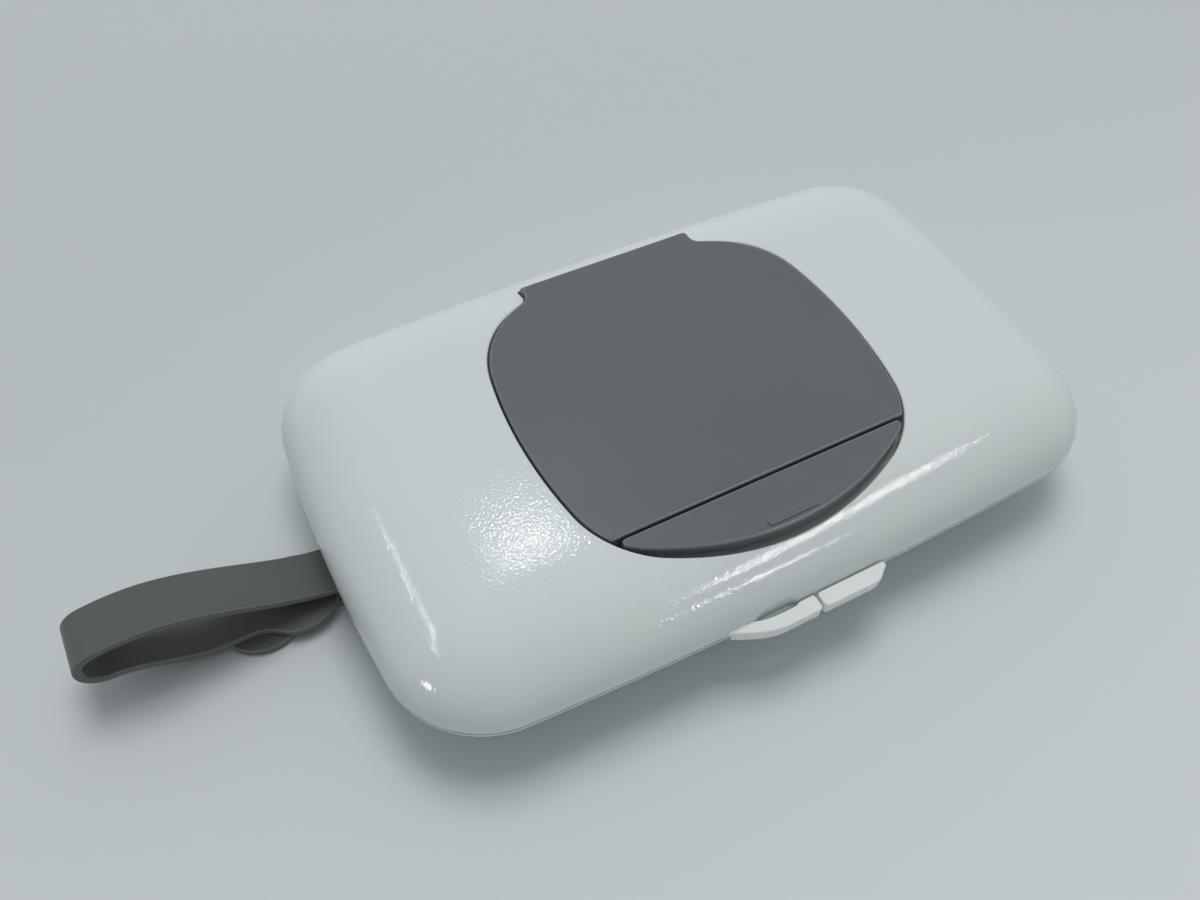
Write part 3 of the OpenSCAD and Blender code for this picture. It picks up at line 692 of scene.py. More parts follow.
@dataclass(frozen=True)
class Finish:
    """Surface of one real material and process, drawn by a noise tint, a haze and a relief.

    The tint shifts the colour between two tones, the haze varies the roughness, and the relief
    gives the surface its fine form.
    """

    name: str
    tone: str
    second: str
    roughness: float
    haze: float = 0.04
    ior: float = 1.49
    metallic: float = 0.0
    tint_size: float = 30.0
    relief_size: float = 3.0
    relief: float = 0.006
    grain_size: float = 0.0
    grain: float = 0.0
    sheen: float = 0.0
    transmission: float = 0.0
    subsurface: float = 0.0
    drift: tuple[float, float] | None = None

    def material(self) -> bpy.types.Material:
        """Returns the material, made on first use."""
        found = bpy.data.materials.get(self.name)
        return found or self.make()

    def make(self) -> bpy.types.Material:
        """Builds the material's nodes.

        Returns:
            The material.
        """
        mat = bpy.data.materials.new(self.name)
        mat.use_nodes = True
        tree = mat.node_tree
        tree.nodes.clear()
        where = add(tree, "ShaderNodeTexCoord").outputs["Object"]

        def noise(size: float, detail: float, fine: float) -> bpy.types.NodeSocket:
            """Returns a noise whose features are size millimetres across."""
            given = {"Vector": where, "Scale": per(size), "Detail": detail, "Roughness": fine}
            return add(tree, "ShaderNodeTexNoise", given).outputs["Fac"]

        low, high = 0.36, 0.66
        mottle = noise(self.tint_size, 4.0, 0.55)
        if self.drift:
            # Tone that drifts across the surface instead of the noise, along Y in metres; on the
            # table this is painted light
            place_y = add(tree, "ShaderNodeSeparateXYZ", {"Vector": where}).outputs["Y"]
            mottle = add(tree, "ShaderNodeMapRange", {
                "Value": place_y, "From Min": self.drift[1], "From Max": self.drift[0],
                "To Min": low, "To Max": high}, interpolation_type="SMOOTHSTEP").outputs["Result"]
        ramp = add(tree, "ShaderNodeValToRGB", {"Fac": mottle})
        tones = zip(ramp.color_ramp.elements, (low, high), (self.tone, self.second))
        for stop, spot, tone in tones:
            stop.position, stop.color = spot, linear(tone)
        rough = add(tree, "ShaderNodeMapRange", {
            "Value": noise(self.tint_size * 0.4, 6.0, 0.65), "From Min": 0.3, "From Max": 0.7,
            "To Min": max(0.02, self.roughness - self.haze), "To Max": self.roughness + self.haze})
        normal = add(tree, "ShaderNodeBump", {
            "Height": noise(self.relief_size, 2.0, 0.4), "Strength": 1.0,
            "Distance": self.relief * MM}).outputs["Normal"]
        if self.grain:
            spark = add(tree, "ShaderNodeTexVoronoi", {
                "Vector": where, "Scale": per(self.grain_size)})
            normal = add(tree, "ShaderNodeBump", {
                "Height": spark.outputs["Distance"], "Strength": 1.0, "Normal": normal,
                "Distance": self.grain * MM}).outputs["Normal"]
        shader = add(tree, "ShaderNodeBsdfPrincipled", {
            "Base Color": ramp.outputs["Color"], "Roughness": rough.outputs["Result"],
            "Normal": normal, "Metallic": self.metallic, "Sheen Weight": self.sheen,
            "Transmission Weight": self.transmission, "Subsurface Weight": self.subsurface,
            "Subsurface Radius": (1.0, 1.0, 1.0), "Subsurface Scale": 1.2 * MM})
        if self.metallic < 0.5:
            shader.inputs["IOR"].default_value = self.ior
        add(tree, "ShaderNodeOutputMaterial", {"Surface": shader.outputs["BSDF"]})
        return mat


# Polypropylene from a polished mould: bright and glossy, with the faint orange peel of a thick
# moulding and a slight drift of tone
SHELL = Finish("white_polypropylene_polished_moulding", "#DAE2E2", "#DDE4E3", 0.085, 0.02, 1.49,
               tint_size=60, relief_size=0.8, relief=0.04, subsurface=0.05)
# The same polypropylene on the small pull tabs, painted whiter for the light that comes through
# them
TAB = Finish("white_polypropylene_tab_painted_glow", "#EAEFEE", "#F0F4F3", 0.26, 0.03, 1.49,
             tint_size=20, relief_size=1.6, relief=0.006, subsurface=0.2)
# ABS moulded in a lightly spark-eroded mould: an even mid grey with a satin gleam
LID = Finish("grey_abs_satin_moulding", "#5F6569", "#62686B", 0.33, 0.02, 1.53,
             tint_size=40, relief_size=2.6, relief=0.006, grain_size=0.45, grain=0.004)
# The lid's own edges: shinier than the top where the erosion fades, and a shade lighter, which is a
# painted highlight along the rounding
EDGE = Finish("grey_abs_edge_painted_highlight", "#74797C", "#7B8083", 0.24, 0.04, 1.53,
              tint_size=6, relief_size=0.7, relief=0.006)
# Polypropylene parts inside, off the same mould finish but less bright
INNER = Finish("white_polypropylene_inner_moulding", "#DDE3E2", "#E4E9E8", 0.34, 0.05, 1.49,
               tint_size=25, relief_size=2.0, relief=0.006)
# Moulded silicone rubber, milky and soft
SOFT = Finish("milky_silicone_moulding", "#C9CFCE", "#D5DAD9", 0.48, 0.06, 1.41,
              tint_size=12, relief_size=1.0, relief=0.006, subsurface=0.2)
# Silicone rubber for the strap: dry, dark and matte, with a dusty bloom
STRAP = Finish("grey_silicone_matte_moulding", "#5A5D5C", "#5E605F", 0.58, 0.03, 1.41,
               tint_size=30, relief_size=0.8, relief=0.006, grain_size=0.35, grain=0.006,
               sheen=0.12)
# The strap's rounded edges, rubbed smooth by handling, and paler: a painted highlight along them
STRAP_EDGE = Finish("grey_silicone_edge_painted_highlight", "#6C6F6E", "#717473", 0.42, 0.04, 1.41,
                    tint_size=12, relief_size=0.8, relief=0.005)
# Moulded ABS of the snap rivet, a little glossier than the strap
SNAP = Finish("dark_abs_snap_moulding", "#4A4E50", "#53575A", 0.4, 0.05, 1.53,
              tint_size=5, relief_size=0.8, relief=0.004)
# Clear polystyrene pane, glossy and faintly cool
WINDOW = Finish("clear_polystyrene_pane", "#E8F0F0", "#EEF4F4", 0.08, 0.02, 1.59,
                tint_size=40, relief_size=6.0, relief=0.003, transmission=0.9)
# Drawn spring steel, with the slight unevenness that drawing leaves
STEEL = Finish("drawn_spring_steel", "#A9ABAD", "#C2C4C6", 0.3, 0.06, metallic=1.0,
               tint_size=3, relief_size=0.6, relief=0.002)


def dress(obj: bpy.types.Object, finish: Finish) -> bpy.types.Object:
    """Gives every face of a piece one finish.

    Args:
        obj: the piece.
        finish: its surface.

    Returns:
        The piece.
    """
    obj.data.materials.clear()
    obj.data.materials.append(finish.material())
    return obj


def accent(obj: bpy.types.Object, finish: Finish,
           test: Callable[[bpy.types.MeshPolygon], bool]) -> None:
    """Gives a second finish to the faces that pass a test.

    Args:
        obj: the piece.
        finish: the second surface.
        test: tells whether a face gets it.
    """
    obj.data.materials.append(finish.material())
    for face in obj.data.polygons:
        if test(face):
            face.material_index = 1


def on_tab(face: bpy.types.MeshPolygon) -> bool:
    """Returns whether a face of a shell belongs to its pull tab, which is painted whiter."""
    return face.center.y < -(TABS.side + 0.05) * MM


def on_edge(face: bpy.types.MeshPolygon) -> bool:
    """Returns whether a face lies on the lid's or button's rounded top edge, which has a painted
    highlight.
    """
    return face.center.z > (TOP_Z - 0.7) * MM and 0.2 < face.normal.z < 0.97


def place(obj: bpy.types.Object, finish: Finish, body: str, slot: str,
          *nodes: str) -> bpy.types.Object:
    """Dresses a piece, lets it ride on a body and stand for CAD nodes.

    Args:
        obj: the finished piece.
        finish: its surface.
        body: the CAD body that carries it.
        slot: the record's material slot; not used.
        nodes: the CAD nodes that it stands for.

    Returns:
        The piece.
    """
    dress(obj, finish)
    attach(obj, body)
    if nodes:
        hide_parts(*nodes)
    LOG.info("%s: %d faces on %s", obj.name, len(obj.data.polygons), body)
    return obj


# ---- forms shared by the shells ---------------------------------------------------------------

CASE = Bowed(101.5, 61.0, 25.6, 3.3, 4.8)
WELL = Bowed(49.2, 49.8, 27.0, 19.0, 10.5, -0.4)
PART_Z, FLOOR_Z, TOP_Z, PLATE_Z = 20.0, 29.0, 35.8, 34.0
WALL, GAP, SNUG = 2.0, 0.3, 0.15
PLAN_POINTS = 400
# Axes along X, as (y, z), and the place of the case hinges to both sides of the middle
LID_AXIS = (46.5, 32.4)
CASE_AXIS = (61.4, 17.4)
PIVOT = (-36.4, 31.2)
HINGE_X = 40.0
# Insets of the rim tongue's two faces
TONGUE = (2.6, 4.2)
# The strap's bar, as (x, z) and radius, and the strap's place and thickness
BAR_X, BAR_Z, BAR_R = -87.0, 6.3, 1.7
STRAP_Y, STRAP_T = 4.5, 2.2


@dataclass(frozen=True)
class Tabs:
    """Sizes that the two pull tabs on the near side share."""

    side: float = 61.0
    split: float = -0.6
    slit: float = 0.8
    length: float = 22.0
    out: float = 4.5
    arm: float = 3.6
    head: float = 5.0
    low: float = 18.0
    high: float = 21.6

    @property
    def face(self) -> float:
        """Y of the tabs' outer face."""
        return -self.side - self.out

    @property
    def back(self) -> float:
        """Y of the tabs' inner face, which clears the other half's side."""
        return -self.side - GAP

    def bar(self, outline: np.ndarray, count: int, name: str) -> bpy.types.Object:
        """Returns a tab with eased edges on an outline, resampled to count points."""
        path = eased(self.low, self.high, 0.3, 0.4, 0.12, 5)
        return lathe(resample(outline, count), path, name, 1.5)


TABS = Tabs()


@dataclass(frozen=True)
class Roll:
    """Elliptical roll of the cover from its rim, eased gradually into the flat crown."""

    run: float = 25.0
    rise: float = 15.4
    ease: float = 4.5

    @cached_property
    def profile(self) -> tuple[np.ndarray, np.ndarray, np.ndarray]:
        """Draws the cover's section from its rim over the roll and along the flat crown.

        Returns:
            Turn in degrees, inset and height along it.
        """
        u = np.concatenate([np.linspace(0, 90, 901), np.linspace(90.1, 130, 400)])
        a = np.radians(np.minimum(u, 90))
        inset = self.run * (1 - np.cos(a)) + np.maximum(u - 90, 0)

        def plain(i: np.ndarray) -> np.ndarray:
            """Returns the height of the ellipse and the flat beyond it."""
            t = np.clip(1 - i / self.run, 0, 1)
            return PART_Z + self.rise * np.sqrt(1 - t * t)

        spread = self.ease * np.clip((inset - 3) / 15, 0, 1) ** 1.5
        spread *= np.clip((70 - inset) / 10, 0, 1)
        reach = np.linspace(-2.4, 2.4, 49)
        weight = np.exp(-reach * reach / 2)
        z = sum(w * plain(np.maximum(inset + r * spread, 0)) for r, w in zip(reach, weight))
        return u, inset, z / weight.sum()

    def curve(self, t: float) -> tuple[np.ndarray, np.ndarray, np.ndarray]:
        """Draws the section of the surface inside the skin.

        Args:
            t: distance from the skin.

        Returns:
            Turn in degrees, inset and height along it.
        """
        u, inset, z = self.profile
        di, dz = np.gradient(inset), np.gradient(z)
        size = np.hypot(di, dz)
        return u, inset + t * dz / size, z - t * di / size

    def ring(self, turn: float, t: float = 0.0) -> tuple[float, float]:
        """Returns the inset and height at a turn in degrees, t inside the skin."""
        u, inset, z = self.curve(t)
        return float(np.interp(turn, u, inset)), float(np.interp(turn, u, z))

    def height(self, inset: np.ndarray, t: float = 0.0) -> np.ndarray:
        """Returns the height of the surface at given insets, t inside the skin."""
        _, way, z = self.curve(t)
        return np.interp(inset, way, z)


ROLL = Roll()


@dataclass(frozen=True)
class Belly:
    """Belly of the base: an arc from the lip down to the flat foot."""

    radius: float = 40.0
    run: float = 25.0
    lip: float = 18.8

    @cached_property
    def centre(self) -> np.ndarray:
        """Finds the centre of the arc.

        Returns:
            Its inset and height.
        """
        chord = math.hypot(self.run, self.lip)
        rise = math.sqrt(self.radius ** 2 - chord ** 2 / 4)
        return np.array([self.run, self.lip]) / 2 + rise * np.array([self.lip, self.run]) / chord

    def ring(self, f: float) -> tuple[float, float]:
        """Finds a place on the arc.

        Args:
            f: share of the way from the foot to the lip.

        Returns:
            Its inset and height.
        """
        cx, cy = self.centre
        a0, a1 = math.atan2(-cy, self.run - cx), math.atan2(self.lip - cy, -cx)
        a = a0 + (a1 - a0) * f
        return cx + self.radius * math.cos(a), cy + self.radius * math.sin(a)

    def inset(self, z: float, t: float = 0.0) -> float:
        """Returns the inset of the arc at a height."""
        cx, cy = self.centre
        return cx - math.sqrt((self.radius - t) ** 2 - (cy - z) ** 2)


BELLY = Belly()


def well_plan() -> np.ndarray:
    """Draws the plan of the lid well with its hinge bay.

    Returns:
        The closed outline.
    """
    half, back = 26.5, 50.2
    return chain([WELL.run(105, 435), line((half, 40), (half, 56)), line((34, back), (-34, back)),
                  line((-half, 56), (-half, 40))], [-3.0, 0.9, 0.9, -3.0])


def slot_plan(r: float) -> np.ndarray:
    """Draws a slot with round ends round the dispensing opening.

    Args:
        r: radius of the ends.

    Returns:
        The closed outline.
    """
    x, y = 15, 3
    a = np.linspace(-math.pi / 2, math.pi / 2, 120)
    right = np.stack([x + r * np.cos(a), y + r * np.sin(a)], 1)
    left = np.stack([-x - r * np.cos(a), y - r * np.sin(a)], 1)
    return resample(np.vstack([right, left]), PLAN_POINTS)


def rounded_plan(l: float, w: float, r: float) -> np.ndarray:
    """Draws a rounded rectangle round the middle.

    Args:
        l: length.
        w: width.
        r: radius of the corners.

    Returns:
        The closed outline.
    """
    a = np.linspace(0, math.pi / 2, 40)
    corner = np.stack([l / 2 - r + r * np.cos(a), w / 2 - r + r * np.sin(a)], 1)
    corners = [corner, corner[::-1] * [-1, 1], -corner, corner[::-1] * [1, -1]]
    return resample(np.vstack(corners), PLAN_POINTS)


def bezier(a: Sequence[float], b: Sequence[float], c: Sequence[float], d: Sequence[float],
           n: int) -> np.ndarray:
    """Draws a cubic curve.

    Args:
        a: where it starts.
        b: pull at the start.
        c: pull at the end.
        d: where it ends.
        n: number of steps.

    Returns:
        The points, both ends among them.
    """
    t = np.linspace(0, 1, n + 1)[:, None]
    p = [np.array(v, float) for v in (a, b, c, d)]
    u = 1 - t
    return u ** 3 * p[0] + 3 * u * u * t * p[1] + 3 * u * t * t * p[2] + t ** 3 * p[3]


def lug_plan(foot: float, up: int) -> np.ndarray:
    """Finds the side view of a lug whose round head holds the button's pin.

    Args:
        foot: height of the lug's foot.
        up: 1 where the head is above the foot, -1 where it is below.

    Returns:
        The outline, as (y, z).
    """
    y, z = PIVOT
    r = 2.0 * up
    angles = np.linspace(0.15, math.pi - 0.15, 18)
    head = [(y + r * math.cos(v), z + r * math.sin(v)) for v in angles]
    return np.array([(y - r, foot), (y + r, foot), (y + r, z), *head, (y - r, z)])


# ---- cover ------------------------------------------------------------------------------------


@dataclass(frozen=True)
class Cover:
    """Upper half of the case with the well, the collar and the hooked pull tab.

    The collar is given by its two radii and its top, the trough and the ways by their radius and
    half length, and the ears by their place and half thickness.
    """

    stations: int = 720
    rim_round: float = 0.3
    well_round: float = 0.55
    collar: tuple[float, float, float] = (22.4, 24.0, 31.1)
    slot_r: float = 20.0
    pan: float = 2.0
    relief_depth: float = 0.9
    shoulder: tuple[tuple[float, float], ...] = ((41.5, 27.2), (52.0, 27.2), (52.0, 30.6),
                                                 (41.5, 33.5))
    trough: tuple[float, float] = (3.7, 26.5)
    pin_way: tuple[float, float] = (1.03, 29.5)
    ears: tuple[float, float] = (19.0, 1.5)
    ear_foot: float = 28.8
    pivot_way: tuple[float, float] = (0.83, 21.0)

    def skin(self) -> bpy.types.Object:
        """Makes the shell as one closed sweep from the rim over the crown and back inside.

        Returns:
            The solid.
        """
        well = resample(well_plan(), self.stations)
        theta = np.arctan2(well[:, 1], well[:, 0])
        normal = outward(well)
        phi = CASE.facing(theta)
        shape = Shape()
        rings = []
        # Turn where the roll's rings give way to rings round the well, and two small radii
        seam, sole, lip = 40, 0.5, 0.25

        def put(flat: np.ndarray, z: float | np.ndarray) -> None:
            """Adds the next ring of the sweep."""
            rings.append(shape.ring(flat, z))

        r = self.rim_round
        for a in np.radians([0, 30, 60]):
            put(CASE.at(phi, r * (1 - math.sin(a))), PART_Z + r * (1 - math.cos(a)))
        low = math.degrees(math.asin(r / ROLL.rise))
        for u in np.linspace(low, seam, 15):
            put(CASE.at(phi, ROLL.ring(u)[0]), ROLL.ring(u)[1])
        start = CASE.at(phi, ROLL.ring(seam)[0])
        w = self.well_round
        edge = well + w * normal
        for t in np.linspace(0, 1, 25)[1:]:
            flat = start + (edge - start) * t
            put(flat, ROLL.height(CASE.depth(flat)))
        high = ROLL.height(CASE.depth(edge))
        for a in np.radians([22, 45, 68, 90]):
            put(well + w * (1 - math.sin(a)) * normal, high - w * (1 - math.cos(a)))
        put(well, FLOOR_Z + 1.5)
        for a in np.radians([0, 30, 60, 90]):
            put(well - sole * (1 - math.cos(a)) * normal, FLOOR_Z + sole * (1 - math.sin(a)))
        inner, outer, top = self.collar
        foot = on_rays(slot_plan(outer), theta)
        base = well - sole * normal
        for t in (0.25, 0.5, 0.75, 1.0):
            put(base + (foot - base) * t, FLOOR_Z)
        for size, z in ((outer, top - lip), (outer - lip, top), (inner + lip, top),
                        (inner, top - lip), (inner, FLOOR_Z), (self.slot_r + 0.1, FLOOR_Z),
                        (self.slot_r, FLOOR_Z - 0.1), (self.slot_r, FLOOR_Z - self.pan)):
            put(on_rays(slot_plan(size), theta), z)
        hole = on_rays(slot_plan(self.slot_r), theta)
        back = well + self.pan * normal
        for t in (0.3, 0.6, 0.85, 1.0):
            put(hole + (back - hole) * t, FLOOR_Z - self.pan)
        inside = CASE.at(phi, ROLL.ring(seam, WALL)[0])
        for t in np.linspace(0, 1, 14):
            flat = back + (inside - back) * t
            put(flat, ROLL.height(CASE.depth(flat), WALL))
        table = [ROLL.ring(u, WALL) for u in np.linspace(36, 0, 60)]
        rib_top, rib_low, rib_in = 24.0, 22.8, TONGUE[1] + 0.2
        upper = [p for p in table if p[1] > rib_top][::6]
        lower = [p for p in table if PART_Z + 0.2 < p[1] < rib_low][::6]

        def at_z(z: float) -> float:
            """Returns the inset of the wall's inside at a height."""
            insets, heights = zip(*table[::-1])
            return float(np.interp(z, heights, insets))

        path = [*upper, (at_z(rib_top), rib_top), (rib_in, rib_top), (rib_in, rib_low),
                (at_z(rib_low), rib_low), *lower, (WALL, PART_Z)]
        for inset, z in path:
            put(CASE.at(phi, inset), z)
        shape.skin(rings, closed=True)
        return shape.build("cover_shell")

    def tab(self) -> bpy.types.Object:
        """Makes the hooked bar that flows out of the cover's side.

        Returns:
            The solid.
        """
        x0, x1 = TABS.split - TABS.length, TABS.split - TABS.slit / 2
        face, back = TABS.face, TABS.back
        inner = face + TABS.arm
        bend, step = x0 + 12, x1 - TABS.head
        outer = np.vstack([
            line((x0 - 6.14, -59.26), (x0 - 2.5, -60.9), 0.4),
            bezier((x0 - 2.5, -60.9), (x0 + 2, face + 2.6), (x0 + 6, face), (bend, face), 40)[1:],
            line((bend, face), (x1 + 2, face), 0.5)[1:]])
        inside = np.vstack([
            line((x1 + 2, back), (step + 1.2, back), 0.3),
            bezier((step + 1.2, back), (step + 0.1, back), (step - 0.1, inner),
                   (step - 1.2, inner), 12)[1:],
            line((step - 1.2, inner), (bend, inner), 0.5)[1:],
            bezier((bend, inner), (x0 + 9, inner), (x0 + 6.5, inner + 0.3),
                   (x0 + 4.4, -60.6), 16)[1:],
            line((x0 + 4.4, -60.6), (x0 + 4.0, -58.4), 0.4)[1:]])
        ring = chain([outer, line((x1, face - 2), (x1, back + 2), 0.3), inside,
                      line((x0 + 7, -59.8), (x0 - 7, -59.8), 0.4)], [1.2, 0.7, 0.6, 0.6])
        bar = TABS.bar(ring, 420, "hooked_tab")
        # Below the parting line the bar keeps clear of the base's side
        return combine(bar, block((x0 - 4, back, 17), (x1 + 1, -58, PART_Z)), Operation.CUT)

    def relief(self) -> bpy.types.Object:
        """Makes the finger relief that is cut into the wall behind the bar.

        Returns:
            The solid.
        """
        x0 = TABS.split - TABS.length + 4.4
        x1 = TABS.split - TABS.slit / 2 - TABS.head + 0.6
        back = TABS.back
        y0, y1 = back - 1, self.relief_depth - TABS.side
        plan = np.vstack([[(x0, y0)], [(x1, y0)],
                          bezier((x1, back), (x1, y1 - 0.5), (x1 - 1.5, y1), (x1 - 3, y1), 8),
                          bezier((x0 + 6, y1), (x0 + 3, y1), (x0 + 1.5, y1), (x0 + 0.3, back), 10)])
        return prism(plan, PART_Z - 0.5, PART_Z + 5.0, name="relief")

    def build(self) -> None:
        """Builds the cover and places it."""
        shell = self.skin()
        flank(shell, self.shoulder, 28.45, 2.05)
        drill(shell, *self.trough, LID_AXIS)
        drill(shell, *self.pin_way, LID_AXIS)
        combine(shell, self.relief(), Operation.CUT)
        combine(shell, self.tab(), Operation.JOIN)
        flank(shell, lug_plan(self.ear_foot, 1), *self.ears)
        drill(shell, *self.pivot_way, PIVOT)
        # The hooked pull tab is painted whiter for the light that comes through it
        accent(place(settle(shell), SHELL, "cover", "shell", "top_shell"), TAB, on_tab)


# ---- base -------------------------------------------------------------------------------------


@dataclass(frozen=True)
class Base:
    """Lower half of the case with the rim tongue, the block tab and the strap's pocket."""

    stations: int = 640
    pane: tuple[float, float, float] = (90.3, 38.3, 9.15)
    sight: tuple[float, float, float] = (84.0, 32.0, 6.0)
    recess: float = 1.2
    groove: float = 0.45
    room: float = 16.0
    pocket_wall: float = 1.6
    bar_half: float = 8.6
    knuckle_way: tuple[float, float] = (2.3, 4.8)

    def rings_to(self, shape: Shape, phi: np.ndarray, path: list[tuple[float, float]]) -> list:
        """Adds rings of the case outline along a path of insets and heights."""
        return [shape.ring(CASE.at(phi, inset), z) for inset, z in path]

    def phi(self) -> np.ndarray:
        """Spreads facing angles evenly along the case outline.

        Returns:
            The angles, in radians.
        """
        table = np.linspace(0, math.tau, 40001)
        way = along(CASE.at(table, 0.0))
        return np.interp(np.arange(self.stations) * way[-1] / self.stations, way, table)

    def skin(self) -> bpy.types.Object:
        """Makes the shell as one closed sweep from the window over the belly and back inside.

        Returns:
            The solid.
        """
        phi = self.phi()
        edge = CASE.at(phi, 0.0)
        theta = np.arctan2(edge[:, 1], edge[:, 0])
        shape = Shape()
        pane = on_rays(rounded_plan(*self.pane), theta)
        sight = on_rays(rounded_plan(*self.sight), theta)
        foot = CASE.at(phi, 26.0)
        rings = [shape.ring(pane, 0.15), shape.ring(pane * 1.002, 0.0)]
        rings += [shape.ring(pane + (foot - pane) * t, 0.0) for t in (0.4, 0.8)]
        outer = [(26.0, 0.0)] + [BELLY.ring(f) for f in np.linspace(0, 1, 16)]
        # A narrow shadow groove under the cover's rim, as moulders leave to hide the parting
        step = PART_Z - self.groove
        lip = [(0.0, 19.1), (0.0, step - 0.15), (0.05, step - 0.05), (0.15, step), (1.1, step),
               (1.1, PART_Z)]
        a, b = TONGUE
        tongue = [(a - 0.2, PART_Z), (a, PART_Z + 0.1), (a, 21.3), (a + 0.2, 21.5), (b - 0.2, 21.5),
                  (b, 21.3), (b, 18.0)]
        inner = [(BELLY.inset(z, WALL), z) for z in (18.0, 16.5, 14.5, 12, 9.5, 7, 5, 3.4, 2.4)]
        inner[-1] = (inner[-1][0] + 0.4, 2.05)
        inner += [(inner[-1][0] + 1.0, 2.0)]
        rings += self.rings_to(shape, phi, outer + lip + tongue + inner)
        start = CASE.at(phi, inner[-1][0])
        rings += [shape.ring(start + (sight - start) * t, 2.0) for t in (0.3, 0.65, 1.0)]
        rings += [shape.ring(sight, self.recess), shape.ring(pane, self.recess)]
        shape.skin(rings, closed=True)
        return shape.build("base_shell")

    def middle(self) -> bpy.types.Object:
        """Makes the solid inside the wall's middle surface, which trims what stands inside.

        Returns:
            The solid.
        """
        phi = self.phi()
        shape = Shape()
        path = [(BELLY.inset(z, 1.0), z) for z in (1.3, 2, 3.5, 5, 7, 9.5, 12, 14.5, 17)]
        rings = self.rings_to(shape, phi, path)
        shape.skin(rings)
        shape.cap(rings[0], True, 6.0)
        shape.cap(rings[-1], False, 6.0)
        return shape.build("middle")

    def pocket(self, w: float, t: float) -> bpy.types.Object:
        """Makes the room of the strap's pocket, or the walls round it.

        Args:
            w: width.
            t: how much larger than the room it is.

        Returns:
            The solid.
        """
        r = BAR_R + SNUG + STRAP_T + GAP + t
        far = BAR_X - 26.5
        a = np.radians(np.concatenate([np.linspace(0, 90, 19)[1:], [97.5, 105]]))
        arc = [(BAR_X + r * math.cos(v), BAR_Z + r * math.sin(v)) for v in a]
        rise = (BAR_X - far) * math.tan(math.radians(15))
        side = [(far, -2 - t), (BAR_X + r, -2 - t), (BAR_X + r, BAR_Z), *arc,
                (far, BAR_Z + r + rise)]
        return prism(side, STRAP_Y - w / 2, STRAP_Y + w / 2, axis="Y", name="pocket")

    def tab(self) -> bpy.types.Object:
        """Makes the block tab with its slanted outer end.

        Returns:
            The solid.
        """
        x0, face, back = TABS.split + TABS.slit / 2, TABS.face, TABS.back
        x1 = x0 + 21.6
        outer = np.vstack([
            line((x0 - 3, face), (x1 - 7.4, face), 0.5),
            bezier((x1 - 7.4, face), (x1 - 5.9, face), (x1 - 5.2, face + 0.3),
                   (x1 - 4.4, face + 0.9), 12)[1:],
            line((x1 - 4.4, face + 0.9), (x1 + 1.6, face + 5.8), 0.3)[1:]])
        ring = chain([outer, line((x1 + 3, back), (x0 - 3, back), 0.3),
                      line((x0, back + 3), (x0, face - 3), 0.3)], [0.7, 0.7, 1.2])
        root = block((x0 + 0.1, back - 1, 18.2), (x1 - 1, -59.8, 19.9), "tab_root")
        return combine(TABS.bar(ring, 300, "block_tab"), root, Operation.JOIN)

    def bar(self) -> bpy.types.Object:
        """Makes the bar that holds the strap.

        Returns:
            The solid.
        """
        h = self.bar_half
        profile = [(0.0, -h), (BAR_R, -h), (BAR_R, h), (0.0, h)]
        return turned(profile, (BAR_X, STRAP_Y, BAR_Z), "Y", "strap_bar", 48)

    def build(self) -> None:
        """Builds the base and places it."""
        shell = self.skin()
        outside = self.pocket(self.room + 2 * self.pocket_wall, self.pocket_wall)
        combine(shell, combine(outside, self.middle(), Operation.KEEP), Operation.JOIN)
        combine(shell, self.pocket(self.room, 0.0), Operation.CUT)
        combine(shell, self.bar(), Operation.JOIN)
        combine(shell, self.tab(), Operation.JOIN)
        radius, half = self.knuckle_way
        for low, high in both_sides(HINGE_X, half):
            combine(shell, rod(radius, low, high, *CASE_AXIS, "knuckle_way"), Operation.CUT)
        # The block pull tab is painted whiter for the light that comes through it
        accent(place(settle(shell), SHELL, "base", "shell", "bottom_shell"), TAB, on_tab)


# ---- lid and button -----------------------------------------------------------------------------


@dataclass(frozen=True)
class Plate:
    """Plate that lies flush in the well, with a rounded top edge and a thin skirt."""

    edge: float = 0.8
    skirt: float = 3.2
    skirt_t: float = 0.9

    @property
    def low(self) -> float:
        """Height of the skirt's lower edge."""
        return TOP_Z - self.skirt

    def slab(self, outline: np.ndarray, count: int, name: str, spacing: float) -> bpy.types.Object:
        """Makes the plate on an outline.

        Args:
            outline: the plate's outline.
            count: how many points of it are used.
            name: name of the solid.
            spacing: size of the net on its flat faces.

        Returns:
            The solid.
        """
        t, low = self.skirt_t, self.low
        top = [(a, TOP_Z - b) for a, b in quarter(self.edge, 7)]
        path = [(t + 0.1, PLATE_Z), (t, PLATE_Z - 0.1), (t, low + 0.15), (t - 0.15, low),
                (0.2, low), (0.05, low + 0.05), (0, low + 0.2), *top, (self.edge + 0.2, TOP_Z)]
        return lathe(resample(outline, count), path, name, spacing)


